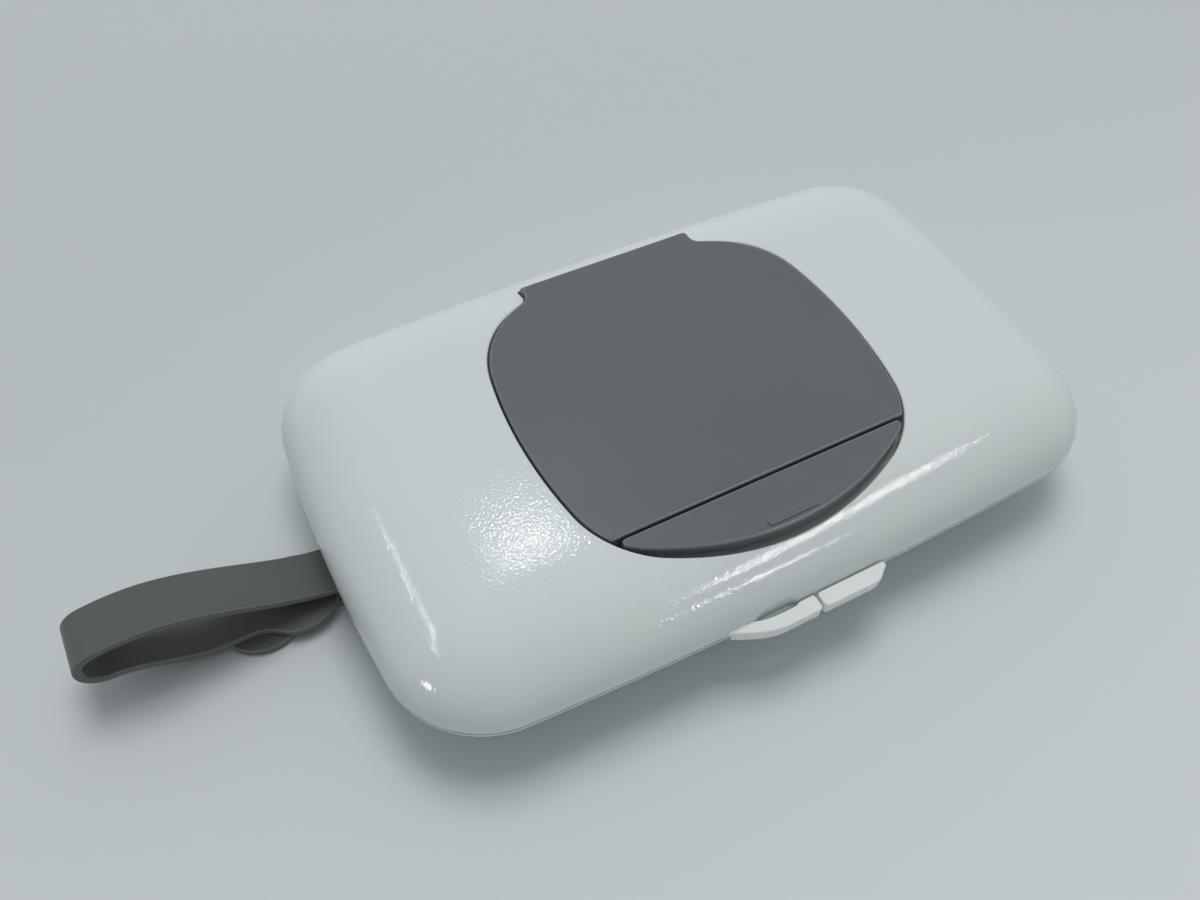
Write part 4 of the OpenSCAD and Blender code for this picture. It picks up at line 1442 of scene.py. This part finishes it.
@dataclass(frozen=True)
class Lid(Plate):
    """Flip lid with its hinge barrel.

    The latch nose's room is given by its half width and depth, and the ways by their radius and
    half length.
    """

    front: float = -33.8
    half: float = 26.2
    barrel: float = 3.4
    back: float = 48.4
    nose_room: tuple[float, float] = (5.5, 2.1)
    spring_way: tuple[float, float] = (2.25, 7.0)
    pin_way: tuple[float, float] = (1.06, 28.0)

    def plan(self) -> np.ndarray:
        """Finds the lid's outline: the well's curve, the split and the hinge block.

        Returns:
            The closed outline.
        """
        h = self.half
        return chain([
            line((-60, self.front), (60, self.front)), WELL.run(-62, 74, 0.5),
            line((h, 40), (h, 56)), line((34, self.back), (-34, self.back)),
            line((-h, 56), (-h, 40)), WELL.run(106, 242, 0.5)],
            [1.2, -3.0, 1.3, 1.3, -3.0, 1.2])

    def build(self) -> None:
        """Builds the lid and places it."""
        lid = self.slab(self.plan(), 760, "flip_lid_plate", 3.0)
        low, h = self.low, self.half
        y, z = LID_AXIS
        combine(lid, block((-h + 0.2, y - 12, low + 0.02), (h - 0.2, y, PLATE_Z + 0.3)),
                Operation.JOIN)
        combine(lid, rod(self.barrel, -h, h, y, z, "barrel", self.edge), Operation.JOIN)
        # Room beside the barrel, for the latch nose, the spring and the pin
        for x0, x1 in ((-60, -h), (h, 60)):
            combine(lid, block((x0, y - 12, low - 1), (x1, 60, PLATE_Z)), Operation.CUT)
        half, depth = self.nose_room
        combine(lid, block((-half, self.front - 1, low - 1), (half, self.front + depth, PLATE_Z)),
                Operation.CUT)
        drill(lid, *self.spring_way, LID_AXIS)
        drill(lid, *self.pin_way, LID_AXIS)
        # The lid's rounded top edge gets a lighter tone, a painted highlight
        accent(place(settle(lid), LID, "lid", "lid", "flip_lid"), EDGE, on_edge)


@dataclass(frozen=True)
class Button(Plate):
    """Latch button with its thumb bar, lugs and latch nose.

    The lugs are given by their place and half thickness, and the pin's way by its radius and
    half length.
    """

    skirt: float = 3.6
    back: float = -34.4
    room: float = 1.2
    lugs: tuple[float, float] = (15.7, 1.5)
    pivot_way: tuple[float, float] = (0.86, 19.0)
    nose_half: float = 4.5
    nose: tuple[tuple[float, float], ...] = ((-35.4, 33.1), (-33.95, 33.1), (-33.95, 33.7),
                                             (-34.4, 33.7), (-34.4, 34.3), (-35.4, 34.3))

    def plan(self) -> np.ndarray:
        """Finds the button's outline: the well's front curve closed by the split.

        The curve keeps the lid's clearance at its two tips and draws in towards the front, where
        the button rocks.

        Returns:
            The closed outline.
        """
        phi = np.radians(np.linspace(180, 360, 900))
        room = np.clip((self.back - WELL.at(phi, 0.5)[:, 1]) / 9, 0, 1)
        front = WELL.at(phi, 0.5 + self.room * room * room * (3 - 2 * room))
        return chain([line((60, self.back), (-60, self.back)), front], [1.1, 1.1])

    def build(self) -> None:
        """Builds the button and places it."""
        plate = self.slab(self.plan(), 560, "latch_button", 2.5)
        bar = np.vstack([line((-6.6, -46.95), (6.6, -46.95)), line((7, -46.6), (7, -45.5)),
                         line((6.6, -45.1), (-6.6, -45.1)), line((-7, -45.5), (-7, -46.6))])
        path = eased(TOP_Z - 0.4, TOP_Z + 0.5, 0.05, 0.22, 0.05)
        combine(plate, lathe(resample(bar, 160), path, "thumb_bar", 1.0), Operation.JOIN)
        flank(plate, lug_plan(PLATE_Z + 0.3, -1), *self.lugs)
        nose = prism(self.nose, -self.nose_half, self.nose_half, axis="X", name="nose")
        combine(plate, nose, Operation.JOIN)
        drill(plate, *self.pivot_way, PIVOT)
        # The button's rounded top edge gets a lighter tone, a painted highlight
        accent(place(settle(plate), LID, "button", "lid", "push_button"), EDGE, on_edge)


# ---- strap ------------------------------------------------------------------------------------


@dataclass(frozen=True)
class Strap:
    """Wrist strap: one flat moulding, bent along its route round the bar and back.

    The tongue, the lobe and the reach are distances from the bar. The crown and the spring are
    heights of the loop's upper and lower run, the droop and the wrap are turns in degrees, the
    step and the top are lengths along the route, and the shoulders lie before and behind the
    place where a paddle meets the band.
    """

    width: float = 13.0
    paddle: float = 11.0
    edge: float = 0.45
    tongue: float = 44.0
    lobe: float = 23.5
    spring: float = 10.0
    reach: float = 60.0
    crown: float = 24.5
    droop: float = 12.0
    step: float = 8.0
    wrap: float = 200.0
    pull: float = 0.36
    top: float = 9.0
    shoulders: tuple[float, float] = (2.5, 3.5)

    @staticmethod
    def leg(p: Sequence[float], length: float, turn: float, n: int) -> list[tuple]:
        """Walks along a leg with a steady turn.

        Args:
            p: station (x, z, heading in degrees) where it starts.
            length: its length.
            turn: how far it turns, in degrees.
            n: number of steps.

        Returns:
            The stations, the first left out.
        """
        out = []
        for i in range(1, n + 1):
            f = i / n
            h = p[2] + turn * f
            if turn == 0:
                a = math.radians(h)
                out.append((p[0] + length * f * math.cos(a), p[1] + length * f * math.sin(a), h))
            else:
                r = length / math.radians(turn)
                a, b = math.radians(h), math.radians(p[2])
                out.append((p[0] + r * (math.sin(a) - math.sin(b)),
                            p[1] - r * (math.cos(a) - math.cos(b)), h))
        return out

    def lift(self, p: Sequence[float], run: float, rise: float) -> list[tuple]:
        """Walks along two bends that raise the strap.

        Args:
            p: station where they start.
            run: how far they reach.
            rise: how far they rise.

        Returns:
            The stations, the first left out.
        """
        turn = math.degrees(2 * math.atan2(rise, run))
        length = run / 2 / math.sin(math.radians(turn)) * math.radians(turn)
        first = self.leg(p, length, turn, 8)
        return first + self.leg(first[-1], length, -turn, 8)

    @staticmethod
    def glide(a: Sequence[float], pull: float, b: Sequence[float], n: int) -> list[tuple]:
        """Walks along a curve that starts and ends with given headings.

        Args:
            a: station where it starts.
            pull: how strongly the headings draw it.
            b: station where it ends.
            n: number of steps.

        Returns:
            The stations, the first left out.
        """
        first, last = np.array(a[:2]), np.array(b[:2])
        head, tail = (np.array([math.cos(math.radians(v[2])), math.sin(math.radians(v[2]))])
                      for v in (a, b))
        pts = bezier(first, first + pull * head, last - pull * tail, last, n)
        slope = np.gradient(pts, axis=0)
        h = np.degrees(np.unwrap(np.arctan2(slope[:, 1], slope[:, 0])))
        h += 360 * round((a[2] - h[0]) / 360)
        return [(q[0], q[1], v) for q, v in zip(pts[1:], h[1:])]

    def route(self) -> np.ndarray:
        """Lays out the strap's middle line.

        Returns:
            The stations, as rows (x, z, heading in degrees).
        """
        mid = STRAP_T / 2
        r = BAR_R + SNUG + mid
        tip, lap = BAR_X - self.tongue, STRAP_T + SNUG
        way = [(tip, mid, 0.0)]
        way += self.leg(way[-1], BAR_X - self.step - tip, 0, 36)
        way += self.lift(way[-1], self.step, BAR_Z - r - mid)
        way += self.leg(way[-1], r * math.radians(self.wrap), self.wrap, 26)
        crest = (BAR_X - self.reach, self.crown - mid, 180)
        way += self.glide(way[-1], self.pull * self.reach, crest, 60)
        way += self.leg(crest, self.top, self.droop, 14)
        # The loop's own spring holds its far end a little above the table
        bend = (way[-1][1] - mid - self.spring) / (1 + math.cos(math.radians(self.droop)))
        turn = 180 - self.droop
        way += self.leg(way[-1], bend * math.radians(turn), turn, 40)
        low, end = (way[-1][0], mid + self.spring, 360.0), (tip - GAP, mid + lap, 360.0)
        way[-1] = low
        way += self.glide(low, self.step, end, 40)
        way[-1] = end
        way += self.leg(end, BAR_X - self.lobe + self.paddle - end[0], 0, 30)
        return np.array(way)

    def stations(self, run: np.ndarray) -> np.ndarray:
        """Spreads stations along the strap, closer together on the two round paddles.

        Args:
            run: places of the route's own points along the strap.

        Returns:
            The stations' places.
        """
        total, r = run[-1], self.paddle
        fan = r * np.cos(np.radians(np.arange(3, 90, 3)))
        straight = run[(run > r) & (run < total - r)]
        s = np.unique(np.concatenate([r - fan, straight, total - r + fan]))
        keep = [0]
        for i in range(1, len(s)):
            if s[i] - s[keep[-1]] > 0.25:
                keep.append(i)
        return s[keep]

    def widths(self, s: np.ndarray, total: float) -> np.ndarray:
        """Finds the strap's half width.

        Args:
            s: places along the strap.
            total: the strap's length.

        Returns:
            The half width at each place, with soft shoulders where a paddle runs into the band.
        """
        half, r = self.width / 2, self.paddle
        w = np.where((s > r) & (s < total - r), half, 0)
        for c in (r, total - r):
            w = np.maximum(w, np.sqrt(np.maximum(r * r - (s - c) ** 2, 0)))
        meet = math.sqrt(r * r - half * half)
        near, far = self.shoulders
        start = math.sqrt(r * r - (meet - near) ** 2)
        for c, sign in ((r, 1), (total - r, -1)):
            d = (s - c) * sign
            blend = np.clip((d - meet + near) / (near + far), 0, 1)
            w = np.where((d > meet - near) & (d < meet + far),
                         half + (start - half) * (1 - blend) ** 2, w)
        return w

    def build(self) -> None:
        """Builds the strap and its rivet and places them."""
        way = self.route()
        run = along(way[:, :2])
        s = self.stations(run)
        w = self.widths(s, run[-1])
        band = self.moulding(s, w, run[-1])
        edges = {f.index for f in band.data.polygons if 0.25 < abs(f.normal.z) < 0.95}
        self.bend(band, way, run)

        def highlit_strap_edge(face: bpy.types.MeshPolygon) -> bool:
            """Returns whether a face lies on the strap's rounded edges, which get a painted
            highlight.
            """
            return face.index in edges

        # The strap's rounded edges get a paler tone, a painted highlight
        accent(place(band, STRAP, "strap", "strap", "strap"), STRAP_EDGE, highlit_strap_edge)
        profile = [(0.0, 0.35), (2.6, 0.35), (2.9, 0.55), (2.9, 0.85), (1.75, 1.0), (1.75, 4.55),
                   (2.7, 4.6), (3.0, 4.75), (3.0, 5.25), (2.75, 5.6), (2.2, 5.85), (1.4, 6.0),
                   (0.0, 6.05)]
        stud = turned(profile, (BAR_X - self.lobe, STRAP_Y, 0), "Z", "snap_rivet", 64)
        place(smooth(stud, 40), SNAP, "strap", "snap", "strap_stud")

    def moulding(self, s: np.ndarray, w: np.ndarray, total: float) -> bpy.types.Object:
        """Makes the straight moulding.

        Args:
            s: stations along the strap, which the net follows.
            w: half width at each station.
            total: the strap's length.

        Returns:
            The moulding with rounded edges, not yet bent.
        """
        shape = Shape()
        flat = np.vstack([[(0.0, 0.0)], np.stack([s, -w], 1), [(total, 0.0)],
                          np.stack([s, w], 1)[::-1]])
        normal = outward(flat)
        path = eased(-STRAP_T / 2, STRAP_T / 2, self.edge, self.edge, 0.25, 5)
        rings = [shape.ring(flat - inset * normal, z) for inset, z in path]
        shape.skin(rings)
        grid = np.array([(a, b) for a in s[4:-4] for b in np.arange(-9.6, 9.7, 1.2)])
        grid = grid[abs(grid[:, 1]) < np.interp(grid[:, 0], s, w) - 0.7]
        shape.net(rings[0], grid, 0.5, True)
        shape.net(rings[-1], grid, 0.5, False)
        return shape.build("wrist_strap")

    def bend(self, band: bpy.types.Object, way: np.ndarray, run: np.ndarray) -> None:
        """Bends the straight moulding along the route.

        Args:
            band: the moulding, which is changed.
            way: the route's stations.
            run: their places along the strap.
        """
        co = np.zeros(len(band.data.vertices) * 3)
        band.data.vertices.foreach_get("co", co)
        co = co.reshape(-1, 3) / MM
        x, z, h = (np.interp(co[:, 0], run, way[:, k]) for k in range(3))
        a = np.radians(h + 90)
        new = np.stack([x + co[:, 2] * np.cos(a), STRAP_Y + co[:, 1], z + co[:, 2] * np.sin(a)], 1)
        band.data.vertices.foreach_set("co", (new * MM).ravel())
        band.data.update()
        smooth(band, 50)


# ---- small parts inside -------------------------------------------------------------------------


def open_tree(name: str, inputs: dict[str, str]) -> tuple[
        bpy.types.NodeTree, bpy.types.bpy_prop_collection]:
    """Starts a geometry node tree with named inputs.

    Args:
        name: name of the tree.
        inputs: kind of socket by input name, between Geometry and Material.

    Returns:
        The tree and the sockets that give its inputs.
    """
    tree = bpy.data.node_groups.new(name, "GeometryNodeTree")
    sockets = {"Geometry": "Geometry", **inputs, "Material": "Material"}
    for label, kind in sockets.items():
        tree.interface.new_socket(label, in_out="INPUT", socket_type="NodeSocket" + kind)
    tree.interface.new_socket("Geometry", in_out="OUTPUT", socket_type="NodeSocketGeometry")
    return tree, add(tree, "NodeGroupInput").outputs


def close_tree(tree: bpy.types.NodeTree, result: bpy.types.NodeSocket,
               material: bpy.types.NodeSocket) -> bpy.types.NodeTree:
    """Ends a geometry node tree: makes its result real and dresses it.

    Args:
        tree: the tree.
        result: the geometry that it makes.
        material: the material that it is given.

    Returns:
        The finished tree.
    """
    real = add(tree, "GeometryNodeRealizeInstances", {"Geometry": result})
    dressed = add(tree, "GeometryNodeSetMaterial", {
        "Geometry": real.outputs["Geometry"], "Material": material})
    add(tree, "NodeGroupOutput", {"Geometry": dressed.outputs["Geometry"]})
    return tree


def grown(name: str, tree: bpy.types.NodeTree, values: dict,
          seed: bpy.types.Mesh | None = None) -> bpy.types.Object:
    """Runs a node tree and keeps its result as a plain mesh.

    Args:
        name: name of the new object.
        tree: the geometry node tree.
        values: the tree's inputs by name.
        seed: mesh that the tree starts from, or none.

    Returns:
        The plain mesh object with its faces outwards.
    """
    obj = bpy.data.objects.new(name, seed or bpy.data.meshes.new(name))
    bpy.context.scene.collection.objects.link(obj)
    mod = obj.modifiers.new("grow", "NODES")
    mod.node_group = tree
    for item in tree.interface.items_tree:
        if item.item_type == "SOCKET" and item.in_out == "INPUT" and item.name in values:
            mod[item.identifier] = values[item.name]
    bake(obj)
    return smooth(obj, 40)


@dataclass(frozen=True)
class Coil:
    """Coil spring, made by a node tree that sweeps a round wire along a spiral."""

    name: str
    radius: float
    wire: float
    height: float
    turns: float
    centre: tuple[float, float, float]
    along_x: bool = False

    @staticmethod
    def tree() -> bpy.types.NodeTree:
        """Builds the node tree of a spring.

        Returns:
            The tree, which the springs share.
        """
        found = bpy.data.node_groups.get("coil_spring")
        if found:
            return found
        tree, given = open_tree("coil_spring", {
            "Radius": "Float", "Wire": "Float", "Height": "Float", "Turns": "Float",
            "Turn Over": "Vector", "Place": "Vector"})
        spiral = add(tree, "GeometryNodeCurveSpiral", {
            "Resolution": 40, "Rotations": given["Turns"], "Start Radius": given["Radius"],
            "End Radius": given["Radius"], "Height": given["Height"]})
        ring = add(tree, "GeometryNodeCurvePrimitiveCircle", {
            "Resolution": 14, "Radius": given["Wire"]}, mode="RADIUS")
        wire = add(tree, "GeometryNodeCurveToMesh", {
            "Curve": spiral.outputs["Curve"], "Profile Curve": ring.outputs["Curve"],
            "Fill Caps": True})
        turned_over = add(tree, "GeometryNodeTransform", {
            "Geometry": wire.outputs["Mesh"], "Rotation": given["Turn Over"],
            "Translation": given["Place"]})
        return close_tree(tree, turned_over.outputs["Geometry"], given["Material"])

    def make(self) -> bpy.types.Object:
        """Makes the spring.

        Returns:
            A plain mesh object.
        """
        h = self.height * MM
        x, y, z = (v * MM for v in self.centre)
        start = (x - h / 2, y, z) if self.along_x else (x, y, z - h / 2)
        return grown(self.name, self.tree(), {
            "Radius": self.radius * MM, "Wire": self.wire / 2 * MM, "Height": h,
            "Turns": self.turns, "Turn Over": (0.0, math.pi / 2 if self.along_x else 0.0, 0.0),
            "Place": start, "Material": STEEL.material()})


@dataclass(frozen=True)
class Knuckles:
    """Row of hinge knuckles, set along the hinge by a node tree."""

    name: str
    body: str
    node: str
    length: float
    places: tuple[float, float]
    web: tuple[tuple[float, float], ...]
    radius: float = 2.0
    bore: float = 0.95

    @staticmethod
    def tree() -> bpy.types.NodeTree:
        """Builds the node tree that sets a knuckle along the hinge axis on both sides.

        Returns:
            The tree, which the knuckle rows share.
        """
        found = bpy.data.node_groups.get("knuckle_row")
        if found:
            return found
        tree, given = open_tree("knuckle_row", {
            "Count": "Int", "Start": "Vector", "Pitch": "Vector", "Mirror Shift": "Vector"})
        row = add(tree, "GeometryNodeMeshLine", {
            "Count": given["Count"], "Start Location": given["Start"], "Offset": given["Pitch"]},
            mode="OFFSET")
        other = add(tree, "GeometryNodeTransform", {
            "Geometry": row.outputs["Mesh"], "Translation": given["Mirror Shift"]})
        both = add(tree, "GeometryNodeJoinGeometry")
        for part in (row.outputs["Mesh"], other.outputs["Geometry"]):
            tree.links.new(part, both.inputs["Geometry"])
        set_out = add(tree, "GeometryNodeInstanceOnPoints", {
            "Points": both.outputs["Geometry"], "Instance": given["Geometry"]})
        return close_tree(tree, set_out.outputs["Instances"], given["Material"])

    def build(self) -> None:
        """Builds the row and places it."""
        half = self.length / 2
        piece = rod(self.radius, -half, half, *CASE_AXIS, "knuckle", 0.3)
        web = prism(self.web, -half + 0.2, half - 0.2, axis="X", name="web")
        combine(piece, web, Operation.JOIN)
        drill(piece, self.bore, self.length, CASE_AXIS)
        low, high = self.places
        row = grown(self.name, self.tree(), {
            "Count": 1 if low == high else 2, "Start": ((HINGE_X + low) * MM, 0.0, 0.0),
            "Pitch": ((high - low) * MM, 0.0, 0.0), "Mirror Shift": (-2 * HINGE_X * MM, 0.0, 0.0),
            "Material": SHELL.material()}, piece.data.copy())
        bpy.data.objects.remove(piece)
        place(row, SHELL, self.body, "shell", self.node)


BASE_KNUCKLES = Knuckles("base_knuckles", "base", "bottom_shell", 5.0, (-7.3, 7.3),
                         ((59.9, 16.0), (61.4, 16.0), (61.4, 18.4), (59.9, 18.4)))
COVER_KNUCKLES = Knuckles("cover_knuckles", "cover", "top_shell", 9.0, (0.0, 0.0),
                          ((60.9, 17.4), (62.4, 17.4), (62.4, 21.0), (59.6, 21.0),
                           (59.6, 20.1), (60.9, 20.1)))


@dataclass(frozen=True)
class Insides:
    """Pins, seals, springs and other small parts, most of them as the CAD gives them."""

    kept: tuple[tuple[str, Finish], ...] = (
        ("case_seal", SOFT), ("dispensing_insert", SOFT), ("lid_gasket", SOFT),
        ("lid_liner", INNER), ("base_window", WINDOW), ("hinge_pin_left", STEEL),
        ("hinge_pin_right", STEEL), ("lid_pin", STEEL), ("button_pin", STEEL))

    def build(self) -> None:
        """Dresses the CAD's own parts and builds the springs."""
        for name, finish in self.kept:
            dress(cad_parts[name], finish)
            LOG.info("%s keeps its CAD mesh", name)
        coil = Coil("lid_coil", 1.65, 0.6, 12.2, 11, (0, *LID_AXIS), True).make()
        place(coil, STEEL, "cover", "steel", "lid_spring")
        coil = Coil("button_coil", 2.0, 0.6, 4.2, 4.5, (0, -42.8, 31.5)).make()
        place(coil, STEEL, "cover", "steel", "button_spring")
        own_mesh(coil)


# ---- stage ------------------------------------------------------------------------------------


class Reach(Enum):
    """What a lamp does: light surfaces softly, or show in glossy ones as a small glint."""

    FILL = "fill"
    GLINT = "glint"


@dataclass(frozen=True)
class Lamp:
    """Rectangular lamp that faces the object, with angles in degrees and power in watts."""

    name: str
    azimuth: float
    height: float
    distance: float
    size: tuple[float, float]
    power: float
    reach: Reach

    def build(self) -> None:
        """Adds the lamp to the scene."""
        a, e = math.radians(self.azimuth), math.radians(self.height)
        toward = (math.cos(e) * math.cos(a), math.cos(e) * math.sin(a), math.sin(e))
        where = self.distance * Vector(toward)
        data = bpy.data.lights.new(self.name, "AREA")
        data.shape, data.energy = "RECTANGLE", self.power
        data.size, data.size_y = self.size[0] * MM, self.size[1] * MM
        obj = bpy.data.objects.new(self.name, data)
        obj.visible_glossy = self.reach is Reach.GLINT
        obj.visible_diffuse = self.reach is Reach.FILL
        obj.location = where * MM
        obj.rotation_euler = (-where).to_track_quat("-Z", "Y").to_euler()
        bpy.context.scene.collection.objects.link(obj)


@dataclass(frozen=True)
class Studio:
    """Plain pale table, soft lights and the camera at the photograph's angle."""

    table: str = "#CCD2D3"
    # The table's near side is painted lighter than its far side, as painted light
    table_near_painted_light: str = "#DEE4E5"
    table_radius: float = 1500.0
    backdrop: str = "#C9CECF"
    sky: str = "#F2F6FA"
    bright_side: tuple[float, float, float] = (0.25, 0.75, 0.61)
    dim: float = 0.0
    bright: float = 0.67
    lens: float = 31.702
    eye: tuple[float, float, float] = (-111.43, -139.39, 244.20)
    right: tuple[float, float, float] = (0.88241, -0.46853, 0.04284)
    up: tuple[float, float, float] = (0.35727, 0.72654, 0.58694)
    lamps: tuple[Lamp, ...] = (
        Lamp("soft_box", 72, 74, 1700, (800, 800), 11.5, Reach.FILL),
        Lamp("low_fill", -100, 6, 1400, (1000, 200), 2.6, Reach.FILL),
        Lamp("lamp_back", 69, 61.6, 1400, (116, 30), 0.37, Reach.GLINT),
        Lamp("lamp_left", 151, 53, 1450, (760, 24), 1.1, Reach.GLINT),
        Lamp("lamp_near", -41, 53, 1400, (620, 26), 1.9, Reach.GLINT),
        Lamp("lamp_low", -64, 37, 1400, (260, 26), 0.85, Reach.GLINT),
        Lamp("lamp_corner", -168, 20, 1400, (210, 150), 1.5, Reach.GLINT))

    def camera(self) -> None:
        """Sets the camera."""
        data = bpy.data.cameras.new("view")
        data.lens, data.sensor_width, data.sensor_fit = self.lens, 36.0, "HORIZONTAL"
        data.clip_start, data.clip_end = 0.005, 20.0
        obj = bpy.data.objects.new("view", data)
        right, up = Vector(self.right).normalized(), Vector(self.up).normalized()
        back = right.cross(up)
        turn = Matrix((right, up, back)).transposed().to_4x4()
        obj.matrix_world = Matrix.Translation(Vector(self.eye) * MM) @ turn
        bpy.context.scene.collection.objects.link(obj)
        bpy.context.scene.camera = obj

    def floor(self) -> None:
        """Makes the table top."""
        shape = Shape()
        a = np.arange(64) * math.tau / 64
        disc = self.table_radius * np.stack([np.cos(a), np.sin(a)], 1)
        rings = [shape.ring(disc, z) for z in (-8.0, -0.02)]
        shape.skin(rings)
        shape.cap(rings[0], True, 300)
        shape.cap(rings[1], False, 300)
        obj = shape.build("table_top")
        # Painted light: the table's tone turns lighter towards the near side
        finish = Finish("pale_laminate_table", self.table, self.table_near_painted_light, 0.55, 0.05, 1.45,
                        drift=(-0.2, 0.16), relief_size=1.2, relief=0.004)
        dress(obj, finish)

    def world(self) -> None:
        """Sets the soft surrounding light and the pale background."""
        world = bpy.data.worlds.new("room")
        world.use_nodes = True
        tree = world.node_tree
        tree.nodes.clear()
        path = add(tree, "ShaderNodeLightPath")
        way = add(tree, "ShaderNodeTexCoord").outputs["Generated"]
        side = add(tree, "ShaderNodeVectorMath", {0: way, 1: self.bright_side},
                   operation="DOT_PRODUCT")
        level = add(tree, "ShaderNodeMapRange", {
            "Value": side.outputs["Value"], "From Min": -0.55, "From Max": 1.0,
            "To Min": self.dim, "To Max": self.bright})
        room = add(tree, "ShaderNodeBackground", {
            "Color": linear(self.sky), "Strength": level.outputs["Result"]})
        seen = add(tree, "ShaderNodeBackground", {"Color": linear(self.backdrop), "Strength": 1.0})
        # Metal, glass and gloss show the same pale background as the camera
        shown = path.outputs["Is Camera Ray"]
        for ray in ("Is Glossy Ray", "Is Transmission Ray"):
            shown = add(tree, "ShaderNodeMath", {0: shown, 1: path.outputs[ray]},
                        operation="MAXIMUM").outputs["Value"]
        mix = add(tree, "ShaderNodeMixShader", {
            0: shown, 1: room.outputs["Background"], 2: seen.outputs["Background"]})
        add(tree, "ShaderNodeOutputWorld", {"Surface": mix.outputs["Shader"]})
        bpy.context.scene.world = world

    def build(self) -> None:
        """Sets the whole stage."""
        self.camera()
        self.floor()
        self.world()
        for lamp in self.lamps:
            lamp.build()
        bpy.context.scene.view_settings.view_transform = "Standard"


def main() -> None:
    """Builds every piece in order."""
    logging.basicConfig(level=logging.INFO, format="%(message)s")
    for piece in (Studio(), Base(), Cover(), Lid(), Button(), Strap(), BASE_KNUCKLES,
                  COVER_KNUCKLES, Insides()):
        piece.build()


if __name__ == "__main__":
    main()
